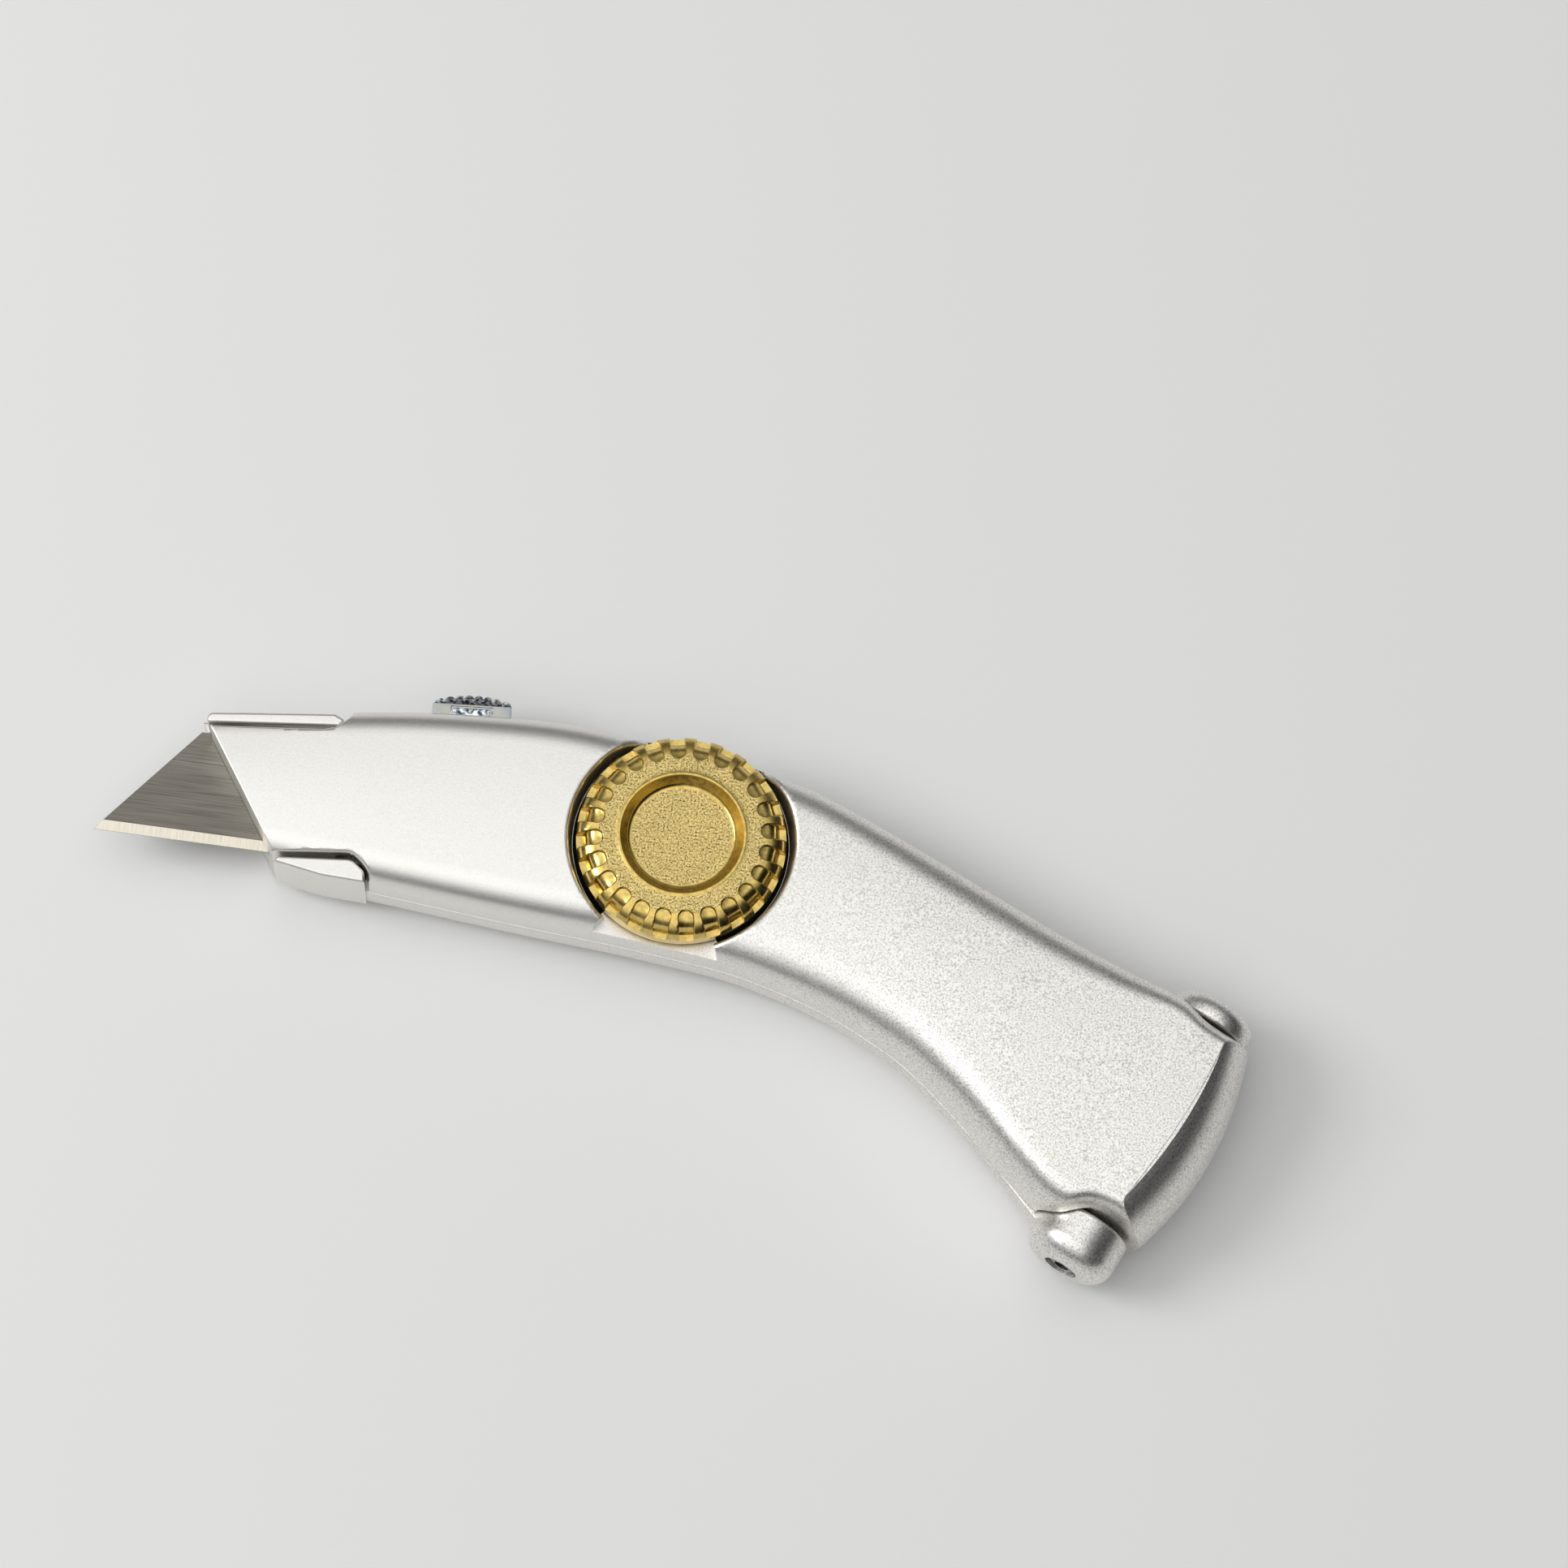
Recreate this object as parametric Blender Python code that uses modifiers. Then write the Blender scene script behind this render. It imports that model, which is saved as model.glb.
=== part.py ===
"""Heavy-duty retractable utility knife with a die-cast two-part body.

The far half (rear_case) and the near half (front_case) are hinged at the flared tail and
clamped together by a large fluted knob. A blade carrier slides between them.

Frame: +X runs along the blade's edge towards the tail, +Y towards the thumb button and +Z
towards the knob. The origin is on the knob's axis, on the flat outside of the far half.
Dimensions are in millimetres and MM turns them into Blender's metres.
"""

from math import atan2, cos, pi, sin, sqrt

import bmesh
import bpy
from mathutils import Matrix, Vector

MM = 0.001
GAP = 0.3  # air left between pieces that touch
OVERRUN = 1.0  # how far a hollow's cutter runs past the open side
THROUGH_FAR = (-5.0, 15.0)  # heights of a cutter that passes through the far half
THROUGH_NEAR = (5.0, 30.0)  # and of one that passes through the near half

# Body halves
PARTING_Z = 9.5
FACE_CROWN = 3.6  # straight height of the side walls, each way from the parting plane
WALL = 2.2
TOP_RAIL = 4.3  # thicker wall under the thumb slide
RAIL_FADES = (6.0, 7.5)  # rows of STATIONS between which it thins to the plain wall
FLOOR = 2.0
HOLLOW_ROUNDING = 0.6  # share of the wall that a rounded edge loses on its inside
LEAST_ROUNDING = 1.0

# Blade: the standard trapezoid utility blade
BLADE_LENGTH = 61.5
BLADE_HEIGHT = 19.1
BLADE_SLANT = 15.2
BLADE_THICK = 0.6
BLADE_TIP = (-97.0, -9.2)
NOTCH_X = 6.5  # each notch from the blade's middle
NOTCH_WIDTH = 2.8
NOTCH_DEPTH = 2.9
GRIND_WIDTH = 1.7
EDGE_LAND = 0.06  # half thickness left at the cutting edge

# Knob and its stud
KNOB_R = 17.4
KNOB_BASE_Z = 15.6
KNOB_FACE_Z = 21.3
DISH_R = 9.0
DISH_RIM_R = 10.4
DISH_Z = KNOB_FACE_Z - 1.8
FLUTES = 24
FLUTE_WIDTH = 2.4
FLUTE_IN_R = 13.1
LEDGE_Z = KNOB_BASE_Z + 2.0
KNOB_HOLLOW = (6.5, 13.4, 17.2)  # inner radius, outer radius, roof height
RECESS_R = 18.4
RECESS_FLOOR_Z = 15.0
CUP_WALL = 2.2
CUP_FLOOR = 1.6
STUD_R = 3.0
STUD_SEAT_Z = 16.9
STUD_GROOVE_R = 2.2
STUD_GROOVE_Z = (9.1, 10.3)
STUD_END_Z = 2.9
INSERT_R = 4.6
INSERT_BORE_R = 3.5
INSERT_TOP_Z = 5.8
INSERT_BOSS_R = 5.9

# Tail hinge: its line lies in the parting plane
HINGE_AT = (72.4, -57.4)
HINGE_DIR = (0.4165, 0.9091)
EAR_R = 7.7
LOWER_EAR = (-4.2, 4.5)  # along the hinge line
UPPER_EAR = (42.9, 47.3)
EAR_BORE_R = 2.9
DOG_BORE_R = 2.3
TAIL_SPAN = (5.0, 42.4)  # where the near half's tail lies between the ears
TAIL_CLEAR_R = 13.3

# Tail barrel: the oval that the near half's tail follows between the ears
BARREL_OUT = 12.0  # from the hinge line to the tail's outline, in the middle
BARREL_MIDDLE = 22.5  # along the hinge line
BARREL_BULGE_R = 55.0
CREASE_OUT = 5.8  # from the hinge line to the crease where the near face ends
CREASE_MIDDLE = 25.5
CREASE_BULGE_R = 75.0
CREASE_Z = 21.0
BARREL_TOP = 12.6  # half height of the oval above the parting plane
BARREL_BOTTOM = 8.9  # and below it

# Thumb button
BUTTON_X = (-44.2, -31.1)
BUTTON_Z = (5.3, 13.7)
BUTTON_PRESS = 1.0
BUTTON_BOTTOM_Y = 17.0
BUTTON_SLOPE = 0.076
BUTTON_SIDE = 1.75
BUMPS = 8
BUMP_PITCH = 1.55
BUMP_HEIGHT = 0.55
BUTTON_CROWN = 2.0
STEM_X = (-41.0, -36.0)
STEM_Z = (6.3, 8.9)
PIN_AT = (-38.5, 10.4)
CHANNEL_END_X = 4.0

# Blade carrier and the rail that it slides on
CARRIER_Z = (3.6, 8.9)
CARRIER = (
    (-61.3, 8.9),
    (-60.8, 6.2),
    (-50.0, -7.5),
    (-46.0, -7.5),
    (-41.0, 3.0),
    (-34.2, 5.4),
    (-34.2, 11.4),
    (-46.0, 11.4),
)
RAIL_X = (-58.5, -10.5)
RAIL_HALF_WIDTH = 4.0
RAIL_Z = (2.3, 3.3)
RAIL_SCREW_X = (-55.0, -14.0)

# Blade store
STORE_AT = (40.1, -13.0)
STORE_DIR = (0.885, -0.465)
SPARES = 5
SPARE_PITCH = 0.85
STORE_Z = (3.7, 8.7)  # clear of the far half's rounded inside corners
STORE_FLOOR_Z = 4.4
CLIP_POST = (17.5, 3.5)
CLIP_POST_TOP_Z = 8.6
CLIP_END = (37.5, -8.5)
CLIP_Z = (8.95, 9.35)

# Outline of both halves at the parting plane, as matching points on the lower and upper
# edges from nose to tail: lower x, y, upper x, y, then the near face's height and the
# widths of its lower and upper rounded edges.
STATIONS = (
    (-88.0, -10.4, -90.0, 10.9, 18.2, 5.2, 5.2),
    (-66.0, -12.4, -68.0, 13.6, 18.3, 5.2, 5.2),
    (-50.9, -13.8, -52.0, 16.2, 18.5, 5.4, 5.4),
    (-37.0, -15.1, -37.7, 17.7, 18.7, 5.6, 5.6),
    (-23.3, -16.3, -21.5, 18.3, 19.0, 5.8, 5.8),
    (-9.6, -17.3, -6.5, 17.0, 19.3, 6.0, 6.0),
    (0.5, -18.3, 4.0, 16.0, 19.5, 6.4, 6.2),
    (9.7, -19.4, 13.5, 14.3, 19.6, 7.2, 6.4),
    (18.5, -21.4, 22.5, 11.8, 19.8, 8.0, 6.6),
    (28.2, -24.6, 33.5, 7.35, 20.1, 8.6, 6.8),
    (35.0, -27.8, 43.0, 3.1, 20.4, 8.6, 7.0),
    (42.1, -31.9, 52.5, -1.3, 20.7, 8.2, 7.0),
    (51.6, -39.7, 64.8, -6.9, 21.0, 7.4, 6.6),
    (60.2, -48.1, 76.0, -11.5, 21.2, 6.2, 5.6),
)
# The near half narrows between the ears, the far half runs into them.
NEAR_TAIL = (
    (67.8, -53.6, 85.6, -15.2, 21.3, 4.6, 4.2),
    (75.4, -53.3, 91.0, -19.3, 21.4, 3.6, 3.4),
    (89.0, -59.5, 104.6, -25.5, 21.4, 3.6, 3.4),
)
FAR_TAIL = (
    (66.0, -54.0, 83.2, -13.3, 21.2, 5.6, 5.2),
    (69.6, -57.2, 87.6, -14.5, 21.2, 5.2, 5.2),
)
LOFT_STEPS = 3
FILLET_STEPS = 4
FAR_HOLLOW_ROWS = (1.0, 14.9)
NEAR_HOLLOW_ROWS = (1.0, 13.6)

# The nose ends along this slant, and the solid nose ahead of the hollow ends along the next
NOSE_LOWER = (-66.3, -11.3)
NOSE_UPPER = (-80.1, 9.1)
HOLLOW_FROM = 11.0

# Edge of the near half where the far half's lip and block wrap round it
LIP_NOTCH = (
    (-95.0, 7.6),
    (-79.5, 8.8),
    (-61.1, 10.7),
    (-59.5, 11.2),
    (-57.6, 13.2),
    (-56.7, 14.1),
    (-56.4, 19.0),
    (-95.0, 19.0),
)
BLOCK_NOTCH = (
    (-80.0, -12.2),
    (-66.1, -11.0),
    (-54.6, -9.8),
    (-52.4, -10.2),
    (-50.7, -11.6),
    (-49.8, -13.4),
    (-49.6, -20.0),
    (-80.0, -20.0),
)
LIP = (
    (-80.4, 10.3),
    (-80.9, 11.0),
    (-80.5, 11.8),
    (-75.1, 12.6),
    (-60.4, 14.4),
    (-59.2, 14.4),
    (-58.4, 13.7),
    (-58.8, 12.7),
    (-60.3, 12.3),
    (-74.8, 10.7),
)
LIP_TOP_Z = 15.4
WRAP_FOOT_Z = 4.0  # lip and block start inside the far half
BLOCK = (
    (-66.0, -12.2),
    (-65.2, -11.6),
    (-53.9, -10.5),
    (-52.6, -10.8),
    (-51.6, -11.8),
    (-50.9, -13.7),
)
BLOCK_TOP_Z = 16.6


def collection(name, hidden=False):
    made = bpy.data.collections.new(name)
    bpy.context.scene.collection.children.link(made)
    made.hide_render = hidden
    return made


def clear_scene():
    for obj in list(bpy.data.objects):
        bpy.data.objects.remove(obj, do_unlink=True)


clear_scene()
PARTS = collection("utility_knife")
CUTTERS = collection("cutters", hidden=True)


# Materials ---------------------------------------------------------------------------


def material(name, colour, metallic, roughness):
    made = bpy.data.materials.new(name)
    made.use_nodes = True
    shader = made.node_tree.nodes["Principled BSDF"]
    shader.inputs["Base Color"].default_value = (*colour, 1.0)
    shader.inputs["Metallic"].default_value = metallic
    shader.inputs["Roughness"].default_value = roughness
    return made


CAST_ZINC = material("cast_zinc", (0.66, 0.66, 0.65), 1.0, 0.38)
ANTIQUE_BRASS = material("antique_brass", (0.62, 0.48, 0.20), 1.0, 0.34)
PLATED_ZINC = material("plated_zinc", (0.60, 0.63, 0.66), 1.0, 0.22)
BLADE_STEEL = material("blade_steel", (0.42, 0.42, 0.41), 1.0, 0.33)
SPRING_STEEL = material("spring_steel", (0.50, 0.50, 0.52), 1.0, 0.30)
SCREW_STEEL = material("screw_steel", (0.45, 0.45, 0.46), 1.0, 0.32)
CARRIER_ZINC = material("carrier_zinc", (0.52, 0.52, 0.52), 1.0, 0.45)
INSERT_BRASS = material("insert_brass", (0.70, 0.53, 0.22), 1.0, 0.30)
STORE_PLASTIC = material("store_plastic", (0.03, 0.03, 0.03), 0.0, 0.50)


# Shape builders ----------------------------------------------------------------------


def place(obj, group, look=None, smooth=False):
    """Puts a new object in its collection, with its material, and hides a cutter."""
    group.objects.link(obj)
    if look:
        obj.data.materials.append(look)
    if group is CUTTERS:
        obj.hide_render = True
        obj.display_type = "WIRE"
    if smooth:
        obj.data.shade_smooth()
        obj.data.set_sharp_from_angle(angle=0.6)
    return obj


def mesh_object(name, form, group, look=None, smooth=False):
    """A bmesh in millimetres made an object in metres, with its faces turned outwards."""
    bmesh.ops.recalc_face_normals(form, faces=form.faces)
    bmesh.ops.scale(form, vec=Vector((MM, MM, MM)), verts=form.verts)
    data = bpy.data.meshes.new(name)
    form.to_mesh(data)
    form.free()
    return place(bpy.data.objects.new(name, data), group, look, smooth)


def plate(name, outline, low, high, group, look=None):
    """A flat outline with a thickness from z = low to z = high."""
    form = bmesh.new()
    base = form.faces.new([form.verts.new((x, y, low)) for x, y in outline])
    raised = bmesh.ops.extrude_face_region(form, geom=[base])["geom"]
    tops = [item for item in raised if isinstance(item, bmesh.types.BMVert)]
    bmesh.ops.translate(form, vec=(0, 0, high - low), verts=tops)
    return mesh_object(name, form, group, look)


def block(name, x, y, z, group, look=None):
    """A box given by its low and high values along each axis."""
    form = bmesh.new()
    bmesh.ops.create_cube(form, size=1.0)
    size = Vector((x[1] - x[0], y[1] - y[0], z[1] - z[0]))
    bmesh.ops.scale(form, vec=size, verts=form.verts)
    middle = Vector((x[0] + x[1], y[0] + y[1], z[0] + z[1])) / 2
    bmesh.ops.translate(form, vec=middle, verts=form.verts)
    return mesh_object(name, form, group, look)


def cylinder(name, radius, start, end, group, look=None, sides=32):
    """A cylinder from one point to another."""
    start, end = Vector(start), Vector(end)
    form = bmesh.new()
    length = (end - start).length
    bmesh.ops.create_cone(
        form, cap_ends=True, segments=sides, radius1=radius, radius2=radius, depth=length
    )
    turn = (end - start).to_track_quat("Z", "Y").to_matrix().to_4x4()
    bmesh.ops.transform(
        form, matrix=Matrix.Translation((start + end) / 2) @ turn, verts=form.verts
    )
    return mesh_object(name, form, group, look, smooth=True)


def turned(name, profile, group, look=None, steps=32, at=(0, 0, 0), along=(0, 0, 1)):
    """A profile of (radius, height) points, outer side from top to bottom, turned round.

    The turning axis passes through the point at, in the direction along.
    """
    data = bpy.data.meshes.new(name)
    points = [(radius * MM, 0, height * MM) for radius, height in profile]
    closed = profile[0][0] > 0 or profile[-1][0] > 0
    edges = [(i, i + 1) for i in range(len(points) - 1)]
    if closed:
        edges.append((len(points) - 1, 0))
    data.from_pydata(points, edges, [])
    obj = place(bpy.data.objects.new(name, data), group, look)
    screw = obj.modifiers.new("turn", "SCREW")
    screw.axis = "Z"
    screw.angle = 2 * pi
    screw.steps = steps
    screw.render_steps = steps
    screw.use_merge_vertices = True
    screw.merge_threshold = 0.00001
    screw.use_smooth_shade = True
    obj.location = Vector(at) * MM
    obj.rotation_euler = Vector(along).to_track_quat("Z", "Y").to_euler()
    return obj


def loft(name, sections, group, look=None):
    """A closed skin over equal-length rings of points, capped at both ends."""
    form = bmesh.new()
    rings = [[form.verts.new(point) for point in ring] for ring in sections]
    count = len(rings[0])
    for near, far in zip(rings, rings[1:]):
        for i in range(count):
            j = (i + 1) % count
            form.faces.new((near[i], near[j], far[j], far[i]))
    form.faces.new(rings[0])
    form.faces.new(rings[-1])
    return mesh_object(name, form, group, look, smooth=True)


def combine(obj, operation, *others):
    for other in others:
        step = obj.modifiers.new(other.name, "BOOLEAN")
        step.operation = operation
        step.solver = "EXACT"
        step.object = other
    return obj


def cut(obj, *cutters):
    return combine(obj, "DIFFERENCE", *cutters)


def join(obj, *others):
    return combine(obj, "UNION", *others)


def pivot(name, at):
    """An empty on a joint's axis, which carries the pieces that move with the joint."""
    empty = bpy.data.objects.new(name, None)
    empty.location = Vector(at) * MM
    PARTS.objects.link(empty)
    return empty


def carry(parent, *children):
    bpy.context.view_layer.update()
    for child in children:
        child.parent = parent
        child.matrix_parent_inverse = parent.matrix_world.inverted()


# Body outline ------------------------------------------------------------------------


def catmull(before, start, end, after, t):
    """One value of a smooth curve through start and end."""
    slope_in = (end - before) / 2
    slope_out = (after - start) / 2
    return (
        (2 * t**3 - 3 * t**2 + 1) * start
        + (t**3 - 2 * t**2 + t) * slope_in
        + (3 * t**2 - 2 * t**3) * end
        + (t**3 - t**2) * slope_out
    )


def station(rows, s):
    """The outline's values at a fractional row number."""
    i = min(int(s), len(rows) - 2)
    before = rows[max(i - 1, 0)]
    after = rows[min(i + 2, len(rows) - 1)]
    return [catmull(*four, s - i) for four in zip(before, rows[i], rows[i + 1], after)]


def section(values, near, inset=0.0, rail=0.0):
    """Ring of points round one half's cross-section.

    inset moves the walls inwards for the hollow, and rail moves the upper wall further.
    """
    x0, y0, x1, y1, face, low_round, high_round = values
    across = Vector((x1 - x0, y1 - y0, 0))
    width = across.length
    across.normalize()
    height = (face - PARTING_Z if near else PARTING_Z) - inset
    straight = FACE_CROWN
    low, high = inset, width - inset - rail
    open_end = OVERRUN if inset else -GAP / 2
    ring = [(low, -open_end)]
    for side, radius in ((low, low_round), (high, high_round)):
        radius = max(radius - inset * HOLLOW_ROUNDING, LEAST_ROUNDING)
        inward = 1 if side == low else -1
        steps = range(FILLET_STEPS + 1)
        arc = [
            (
                side + inward * radius * (1 - cos(pi / 2 * k / FILLET_STEPS)),
                straight + (height - straight) * sin(pi / 2 * k / FILLET_STEPS),
            )
            for k in steps
        ]
        ring += arc if inward > 0 else arc[::-1]
    ring.append((high, -open_end))
    sign = 1 if near else -1
    start = Vector((x0, y0, PARTING_Z))
    return [start + across * u + Vector((0, 0, sign * h)) for u, h in ring]


def rail_at(s):
    """Extra thickness of the upper wall, from the nose to just past the knob."""
    first, last = RAIL_FADES
    fade = min(max((last - s) / (last - first), 0.0), 1.0)
    return (TOP_RAIL - WALL) * fade


def half_loft(name, rows, near, start, end, inset=0.0):
    count = round((end - start) * LOFT_STEPS)
    places = [start + (end - start) * k / count for k in range(count + 1)]
    rings = [
        section(station(rows, s), near, inset, rail_at(s) if inset else 0.0)
        for s in places
    ]
    return loft(name, rings, CUTTERS if inset else PARTS, None if inset else CAST_ZINC)


def slant_plate(name, back, heights):
    """A cutter that covers all that lies ahead of the nose's slant, moved back along X."""
    overrun, depth = 13.0, Vector((60, 0))
    lower = Vector(NOSE_LOWER) + Vector((back, 0))
    upper = Vector(NOSE_UPPER) + Vector((back, 0))
    along = (upper - lower).normalized()
    foot, head = lower - along * overrun, upper + along * overrun
    return plate(name, (foot, head, head - depth, foot - depth), *heights, CUTTERS)


def hinge_point(n, t, z):
    """The point t along the hinge line, n outwards towards the tail, at height z."""
    dx, dy = HINGE_DIR
    return Vector((HINGE_AT[0] + dx * t + dy * n, HINGE_AT[1] + dy * t - dx * n, z))


def hinge_cylinder(name, radius, t_low, t_high, group, look=None, sides=48, z=PARTING_Z):
    ends = hinge_point(0, t_low, z), hinge_point(0, t_high, z)
    return cylinder(name, radius, *ends, group, look, sides)


# Tail barrel -------------------------------------------------------------------------


def barrel_out(t):
    return BARREL_OUT - (t - BARREL_MIDDLE) ** 2 / (2 * BARREL_BULGE_R)


def crease_out(t):
    return CREASE_OUT - (t - CREASE_MIDDLE) ** 2 / (2 * CREASE_BULGE_R)


def barrel_oval(t):
    """The oval's centre and its width from centre to outline, at t along the hinge."""
    level = sqrt(1 - ((CREASE_Z - PARTING_Z) / BARREL_TOP) ** 2)
    width = (barrel_out(t) - crease_out(t)) / (1 - level)
    return barrel_out(t) - width, width


def barrel_arc(t, start, end, steps, grow=0.0):
    """Points (n, z) on the oval between two angles above the parting plane."""
    centre, width = barrel_oval(t)
    points = []
    for k in range(steps + 1):
        angle = start + (end - start) * k / steps
        height = BARREL_TOP if angle > 0 else BARREL_BOTTOM
        points.append(
            (
                centre + (width + grow) * cos(angle),
                PARTING_Z + (height + grow) * sin(angle),
            )
        )
    return points


def tail_trim():
    """Cutter: all that lies outside the tail's oval above the parting plane."""
    first_t, last_t, count = -6.0, 54.0, 14
    outside, low, high = 45.0, 6.0, 34.0
    top_angle = atan2(CREASE_Z - PARTING_Z + 1.2, BARREL_TOP * 0.36)
    sections = []
    for k in range(count + 1):
        t = first_t + (last_t - first_t) * k / count
        arc = barrel_arc(t, 0.0, top_angle, 8)
        ring = [(outside, low), (arc[0][0], low), *arc, (arc[-1][0], high), (outside, high)]
        sections.append([hinge_point(n, t, z) for n, z in ring])
    return loft("tail_trim", sections, CUTTERS)


def tail_bar():
    """The near half's bar that fills the tail between the ears, below the parting plane."""
    inner, top, slope, count = -5.0, 11.2, 1.2, 8
    first_t, last_t = TAIL_SPAN[0] + GAP, TAIL_SPAN[1] - GAP
    sections = []
    for k in range(count + 1):
        t = first_t + (last_t - first_t) * k / count
        arc = barrel_arc(t, -pi / 2, 0.0, 6, grow=-0.05)
        ring = [(inner, arc[0][1]), *arc, (arc[-1][0] - slope, top), (inner, top)]
        sections.append([hinge_point(n, t, z) for n, z in ring])
    return loft("tail_bar", sections, CUTTERS)


def tail_pocket():
    """Cutter: hollow in the tail bar, open towards the handle."""
    end_wall, inner, outer, bulge = 8.5, -22.0, 5.5, 8.0
    low, high = TAIL_SPAN[0] + end_wall, TAIL_SPAN[1] - end_wall
    corners = ((inner, low), (outer, low), (bulge, (low + high) / 2), (outer, high), (inner, high))
    outline = [hinge_point(n, t, 0).xy for n, t in corners]
    return plate("tail_pocket", outline, 3.0, 18.5, CUTTERS)


# Far half ----------------------------------------------------------------------------


def ear(name, span):
    """A hinge ear with rounded rims, turned about the hinge line."""
    low, high = span
    rim = 1.2
    profile = (
        (0, high),
        (EAR_R - rim, high),
        (EAR_R, high - rim),
        (EAR_R, low + rim),
        (EAR_R - rim, low),
        (0, low),
    )
    at = hinge_point(0, 0, PARTING_Z)
    return turned(name, profile, CUTTERS, steps=40, at=at, along=(*HINGE_DIR, 0))


def blade_slot(name):
    z = (PARTING_Z - BLADE_THICK / 2 - GAP, PARTING_Z + BLADE_THICK / 2 + GAP)
    return block(name, (-110, -48), (-9.7, 10.25), z, CUTTERS)


def button_channel(name):
    """Cutter: the shallow track along the top edge that the thumb button runs in."""
    side_play = 0.4
    x = (BUTTON_X[0] - GAP, CHANNEL_END_X)
    y = (BUTTON_BOTTOM_Y - BUTTON_PRESS - GAP, 30)
    z = (BUTTON_Z[0] - side_play, BUTTON_Z[1] + side_play)
    return block(name, x, y, z, CUTTERS)


def far_hollow():
    rows = STATIONS + FAR_TAIL
    hollow = half_loft("far_hollow", rows, False, *FAR_HOLLOW_ROWS, WALL)
    return cut(hollow, slant_plate("far_nose_solid", HOLLOW_FROM, THROUGH_FAR))


def rear_bores():
    """Cutters: the bores for the insert, the small screws and the hinge screws."""
    bores = [
        cylinder("insert_bore", INSERT_R + GAP, (0, 0, FLOOR), (0, 0, 9), CUTTERS),
        cylinder("post_bore", 1.3, (*CLIP_POST, 3), (*CLIP_POST, 12), CUTTERS, sides=16),
        hinge_cylinder("lower_ear_bore", EAR_BORE_R, -9, 9, CUTTERS, sides=22),
        hinge_cylinder("upper_ear_bore", EAR_BORE_R, 38, 54, CUTTERS, sides=22),
    ]
    for k, x in enumerate(RAIL_SCREW_X):
        bores.append(cylinder(f"rail_bore_{k}", 1.4, (x, 0, 0.7), (x, 0, 5), CUTTERS, sides=16))
    return bores


def rear_case():
    rows = STATIONS + FAR_TAIL
    case = half_loft("rear_case", rows, False, 0, len(rows) - 1)
    cut(case, far_hollow(), slant_plate("far_nose_slant", 0, THROUGH_FAR))
    between_ears = LOWER_EAR[1] + 0.1, UPPER_EAR[0] - 0.1
    cut(case, hinge_cylinder("tail_clearance", TAIL_CLEAR_R, *between_ears, CUTTERS))
    lip = plate("lip", LIP, WRAP_FOOT_Z, LIP_TOP_Z, CUTTERS)
    nose_block = plate("nose_block", BLOCK, WRAP_FOOT_Z, BLOCK_TOP_Z, CUTTERS)
    join(case, lip, nose_block, ear("lower_ear", LOWER_EAR), ear("upper_ear", UPPER_EAR))
    foot_z = 1.5
    boss = cylinder("insert_boss", INSERT_BOSS_R, (0, 0, foot_z), (0, 0, INSERT_TOP_Z), CUTTERS)
    post_ends = (*CLIP_POST, foot_z), (*CLIP_POST, CLIP_POST_TOP_Z)
    join(case, boss, cylinder("clip_post", 2.6, *post_ends, CUTTERS))
    stem_slot = block("stem_slot", (STEM_X[0] - 1, -3.5), (9, 30), (5.9, 12), CUTTERS)
    cut(case, *rear_bores(), blade_slot("far_blade_slot"))
    return cut(case, button_channel("far_channel"), stem_slot)


# Near half ---------------------------------------------------------------------------


def near_hollow():
    """The near half's hollow, less the solid nose and the cup that the knob sits in."""
    rows = STATIONS + NEAR_TAIL
    hollow = half_loft("near_hollow", rows, True, *NEAR_HOLLOW_ROWS, WALL)
    ends = (0, 0, RECESS_FLOOR_Z - CUP_FLOOR), (0, 0, 40)
    cup = cylinder("knob_cup", RECESS_R + CUP_WALL, *ends, CUTTERS, sides=64)
    return cut(hollow, slant_plate("near_nose_solid", HOLLOW_FROM, THROUGH_NEAR), cup)


def ear_pocket(name, t_low, t_high):
    """Cutter: room for one ear in the near half."""
    play, outside = 0.5, 30.0
    room = hinge_cylinder(name, EAR_R + play, t_low, t_high, CUTTERS)
    corners = ((0, t_low), (outside, t_low), (outside, t_high), (0, t_high))
    outline = [hinge_point(n, t, 0).xy for n, t in corners]
    return join(room, plate(name + "_outer", outline, -5, 30, CUTTERS))


def front_case():
    rows = STATIONS + NEAR_TAIL
    case = half_loft("front_case", rows, True, 0, len(rows) - 1)
    cut(case, near_hollow(), slant_plate("near_nose_slant", 0, THROUGH_NEAR), tail_trim())
    join(case, tail_bar())
    recess_ends = (0, 0, RECESS_FLOOR_Z), (0, 0, 40)
    recess = cylinder("recess", RECESS_R, *recess_ends, CUTTERS, sides=72)
    stud_hole = cylinder("stud_hole", STUD_R + 0.6, (0, 0, 5), (0, 0, 20), CUTTERS)
    notches = (
        plate("lip_notch", LIP_NOTCH, *THROUGH_NEAR, CUTTERS),
        plate("block_notch", BLOCK_NOTCH, *THROUGH_NEAR, CUTTERS),
    )
    pockets = (
        ear_pocket("lower_ear_pocket", -12, TAIL_SPAN[0]),
        ear_pocket("upper_ear_pocket", TAIL_SPAN[1], 60),
    )
    bores = (
        hinge_cylinder("lower_dog_bore", DOG_BORE_R, 0, 12.2, CUTTERS, sides=24),
        hinge_cylinder("upper_dog_bore", DOG_BORE_R, 35.2, 47, CUTTERS, sides=24),
    )
    cut(case, recess, stud_hole, *notches, *pockets, *bores, tail_pocket())
    return cut(case, blade_slot("near_blade_slot"), button_channel("near_channel"))


# Hinge screws ------------------------------------------------------------------------


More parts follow.
